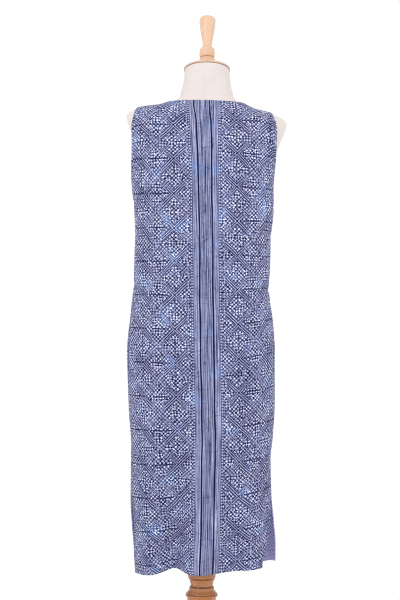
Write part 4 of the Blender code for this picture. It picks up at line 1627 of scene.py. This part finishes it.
@dataclass
class Stand:
    """The turned wooden post and its round base."""

    base_radius: float = 0.175
    base_thickness: float = 0.030
    upper_edge: float = 0.009
    lower_edge: float = 0.008
    step_in: float = 0.018
    foot_in: float = 0.001
    form_bottom: float = 0.785
    pole_radius: float = 0.0245

    def build(self) -> None:
        """Build and dress the post and the base."""
        foot = Vector((0.0, 0.0, 0.0))
        for name, profile, steps, wood, grain_tilt, node in (
            ("turned_post", self._post_profile(), 96, POST_WOOD, 0.0, "stand_post"),
            ("round_base", self._base_profile(), 144, BASE_WOOD, math.pi / 2, "stand_base"),
        ):
            piece = turned(name, profile, steps, foot)
            piece.data.materials.append(wood.material(foot, grain_tilt))
            seat(piece, "brown_wood", node)

    def _post_profile(self) -> list[tuple[float, float]]:
        """Give the post's profile: a flange, a plain pole, beads and coves, a taper and a foot."""
        top = self.form_bottom - PIECE_GAP
        foot = self.base_thickness + PIECE_GAP
        return [
            (0.0, top), (0.0388, top), (0.0400, top - 0.0012), (0.0400, top - 0.0108),
            (0.0388, top - 0.0120), (0.0252, top - 0.0150), (self.pole_radius, top - 0.0165),
            (self.pole_radius, 0.302), (0.0262, 0.2985), (0.0290, 0.2920), (0.0310, 0.2860),
            (0.0322, 0.2800), (0.0335, 0.2730), (0.0340, 0.2660), (0.0337, 0.2630),
            (0.0328, 0.2600), (0.0315, 0.2572), (0.0296, 0.2550), (0.0290, 0.2520),
            (0.0286, 0.2490), (0.0278, 0.2460), (0.0272, 0.2430), (0.0276, 0.2410),
            (0.0298, 0.2380), (0.0303, 0.2358), (0.0304, 0.2335), (0.0313, 0.2300),
            (0.0335, 0.2272), (0.0366, 0.2243), (0.0386, 0.2215), (0.0393, 0.2190),
            (0.0390, 0.2165), (0.0377, 0.2140), (0.0356, 0.2122), (0.0348, 0.2095),
            (0.0348, 0.2050), (0.0338, 0.1800),
            (0.0322, 0.1500), (0.0309, 0.1220), (0.0301, 0.1000), (0.0304, 0.0900),
            (0.0314, 0.0800), (0.0345, 0.0745), (0.0385, 0.0712), (0.0412, 0.0670),
            (0.0420, 0.0620), (0.0413, 0.0580), (0.0400, 0.0560), (0.0420, 0.0520),
            (0.0465, 0.0480), (0.0520, 0.0440), (0.0550, 0.0390), (0.0560, foot + 0.0040),
            (0.0560, foot), (0.0, foot),
        ]

    def _base_profile(self) -> list[tuple[float, float]]:
        """Give the base's profile: a thick disc with a stepped and rounded upper edge."""
        radius, top = self.base_radius, self.base_thickness
        upper = arc((radius - self.step_in, top - self.upper_edge), self.upper_edge, 90, 0, 9)
        lower = arc((radius - self.lower_edge, self.lower_edge), self.lower_edge, 90, 0, 9)
        return [(0.0, top), *upper, *lower, (radius - self.foot_in, 0.0), (0.0, 0.0)]


@dataclass
class Studio:
    """The camera, the light and the floor."""

    distance: float = 4.4
    height: float = 0.94
    aside: float = -0.0115
    roll: float = math.radians(0.6)
    lens: float = 107.76
    sensor: float = 36.0
    sees_to: float = 50.0
    pixel_filter: float = 1.1
    floor_radius: float = 1.05
    floor_drop: float = 0.0006
    sky: float = 1.0
    lamps_aim: tuple[float, float, float] = (0.0, 0.0, 0.95)

    def build(self) -> None:
        """Set the camera, the lights and the floor."""
        self._camera()
        self._lights()
        self._floor()
        scene = bpy.context.scene
        scene.view_settings.view_transform = "Standard"
        scene.cycles.denoising_prefilter = "NONE"
        scene.cycles.filter_width = self.pixel_filter

    def _camera(self) -> None:
        """Stand the camera behind the dress, level and rolled a little as in the photo."""
        camera = bpy.data.cameras.new("camera")
        camera.lens = self.lens
        camera.sensor_width = self.sensor
        camera.clip_end = self.sees_to
        stand = bpy.data.objects.new("camera", camera)
        bpy.context.scene.collection.objects.link(stand)
        turn = Matrix.Rotation(math.pi / 2, 4, "X") @ Matrix.Rotation(self.roll, 4, "Z")
        stand.matrix_world = Matrix.Translation((self.aside, -self.distance, self.height)) @ turn
        bpy.context.scene.camera = stand

    def _lights(self) -> None:
        """Light the white room evenly, with soft lamps above both sides of the camera."""
        world = bpy.data.worlds.new("white_room")
        world.use_nodes = True
        feed(world.node_tree.nodes["Background"], {"Color": (1.0, 1.0, 1.0, 1.0), "Strength": self.sky})
        bpy.context.scene.world = world
        for name, place, power, size in (
            ("key_lamp", (-1.9, -2.6, 2.5), 18.0, 1.4),
            ("fill_lamp", (2.3, -2.4, 1.9), 11.0, 1.6),
        ):
            lamp = bpy.data.lights.new(name, "AREA")
            lamp.energy = power
            lamp.size = size
            stand = bpy.data.objects.new(name, lamp)
            bpy.context.scene.collection.objects.link(stand)
            stand.location = place
            towards = Vector(self.lamps_aim) - Vector(place)
            stand.rotation_euler = towards.to_track_quat("-Z", "Y").to_euler()

    def _floor(self) -> None:
        """Lay a round pale floor under the base."""
        clear_selection()
        bpy.ops.mesh.primitive_circle_add(
            vertices=96, radius=self.floor_radius, fill_type="NGON", location=(0.0, 0.0, -self.floor_drop)
        )
        floor = name_piece("floor")
        apply_transform()
        floor.data.materials.append(PaleFloor().material())


def main() -> None:
    """Build the studio, the stand, the form and the dress."""
    logging.basicConfig(level=logging.INFO, format="%(name)s: %(message)s")
    form = FormShape()
    Studio().build()
    Stand().build()
    DressForm(form).build()
    Dress(form).build()


if __name__ == "__main__":
    main()
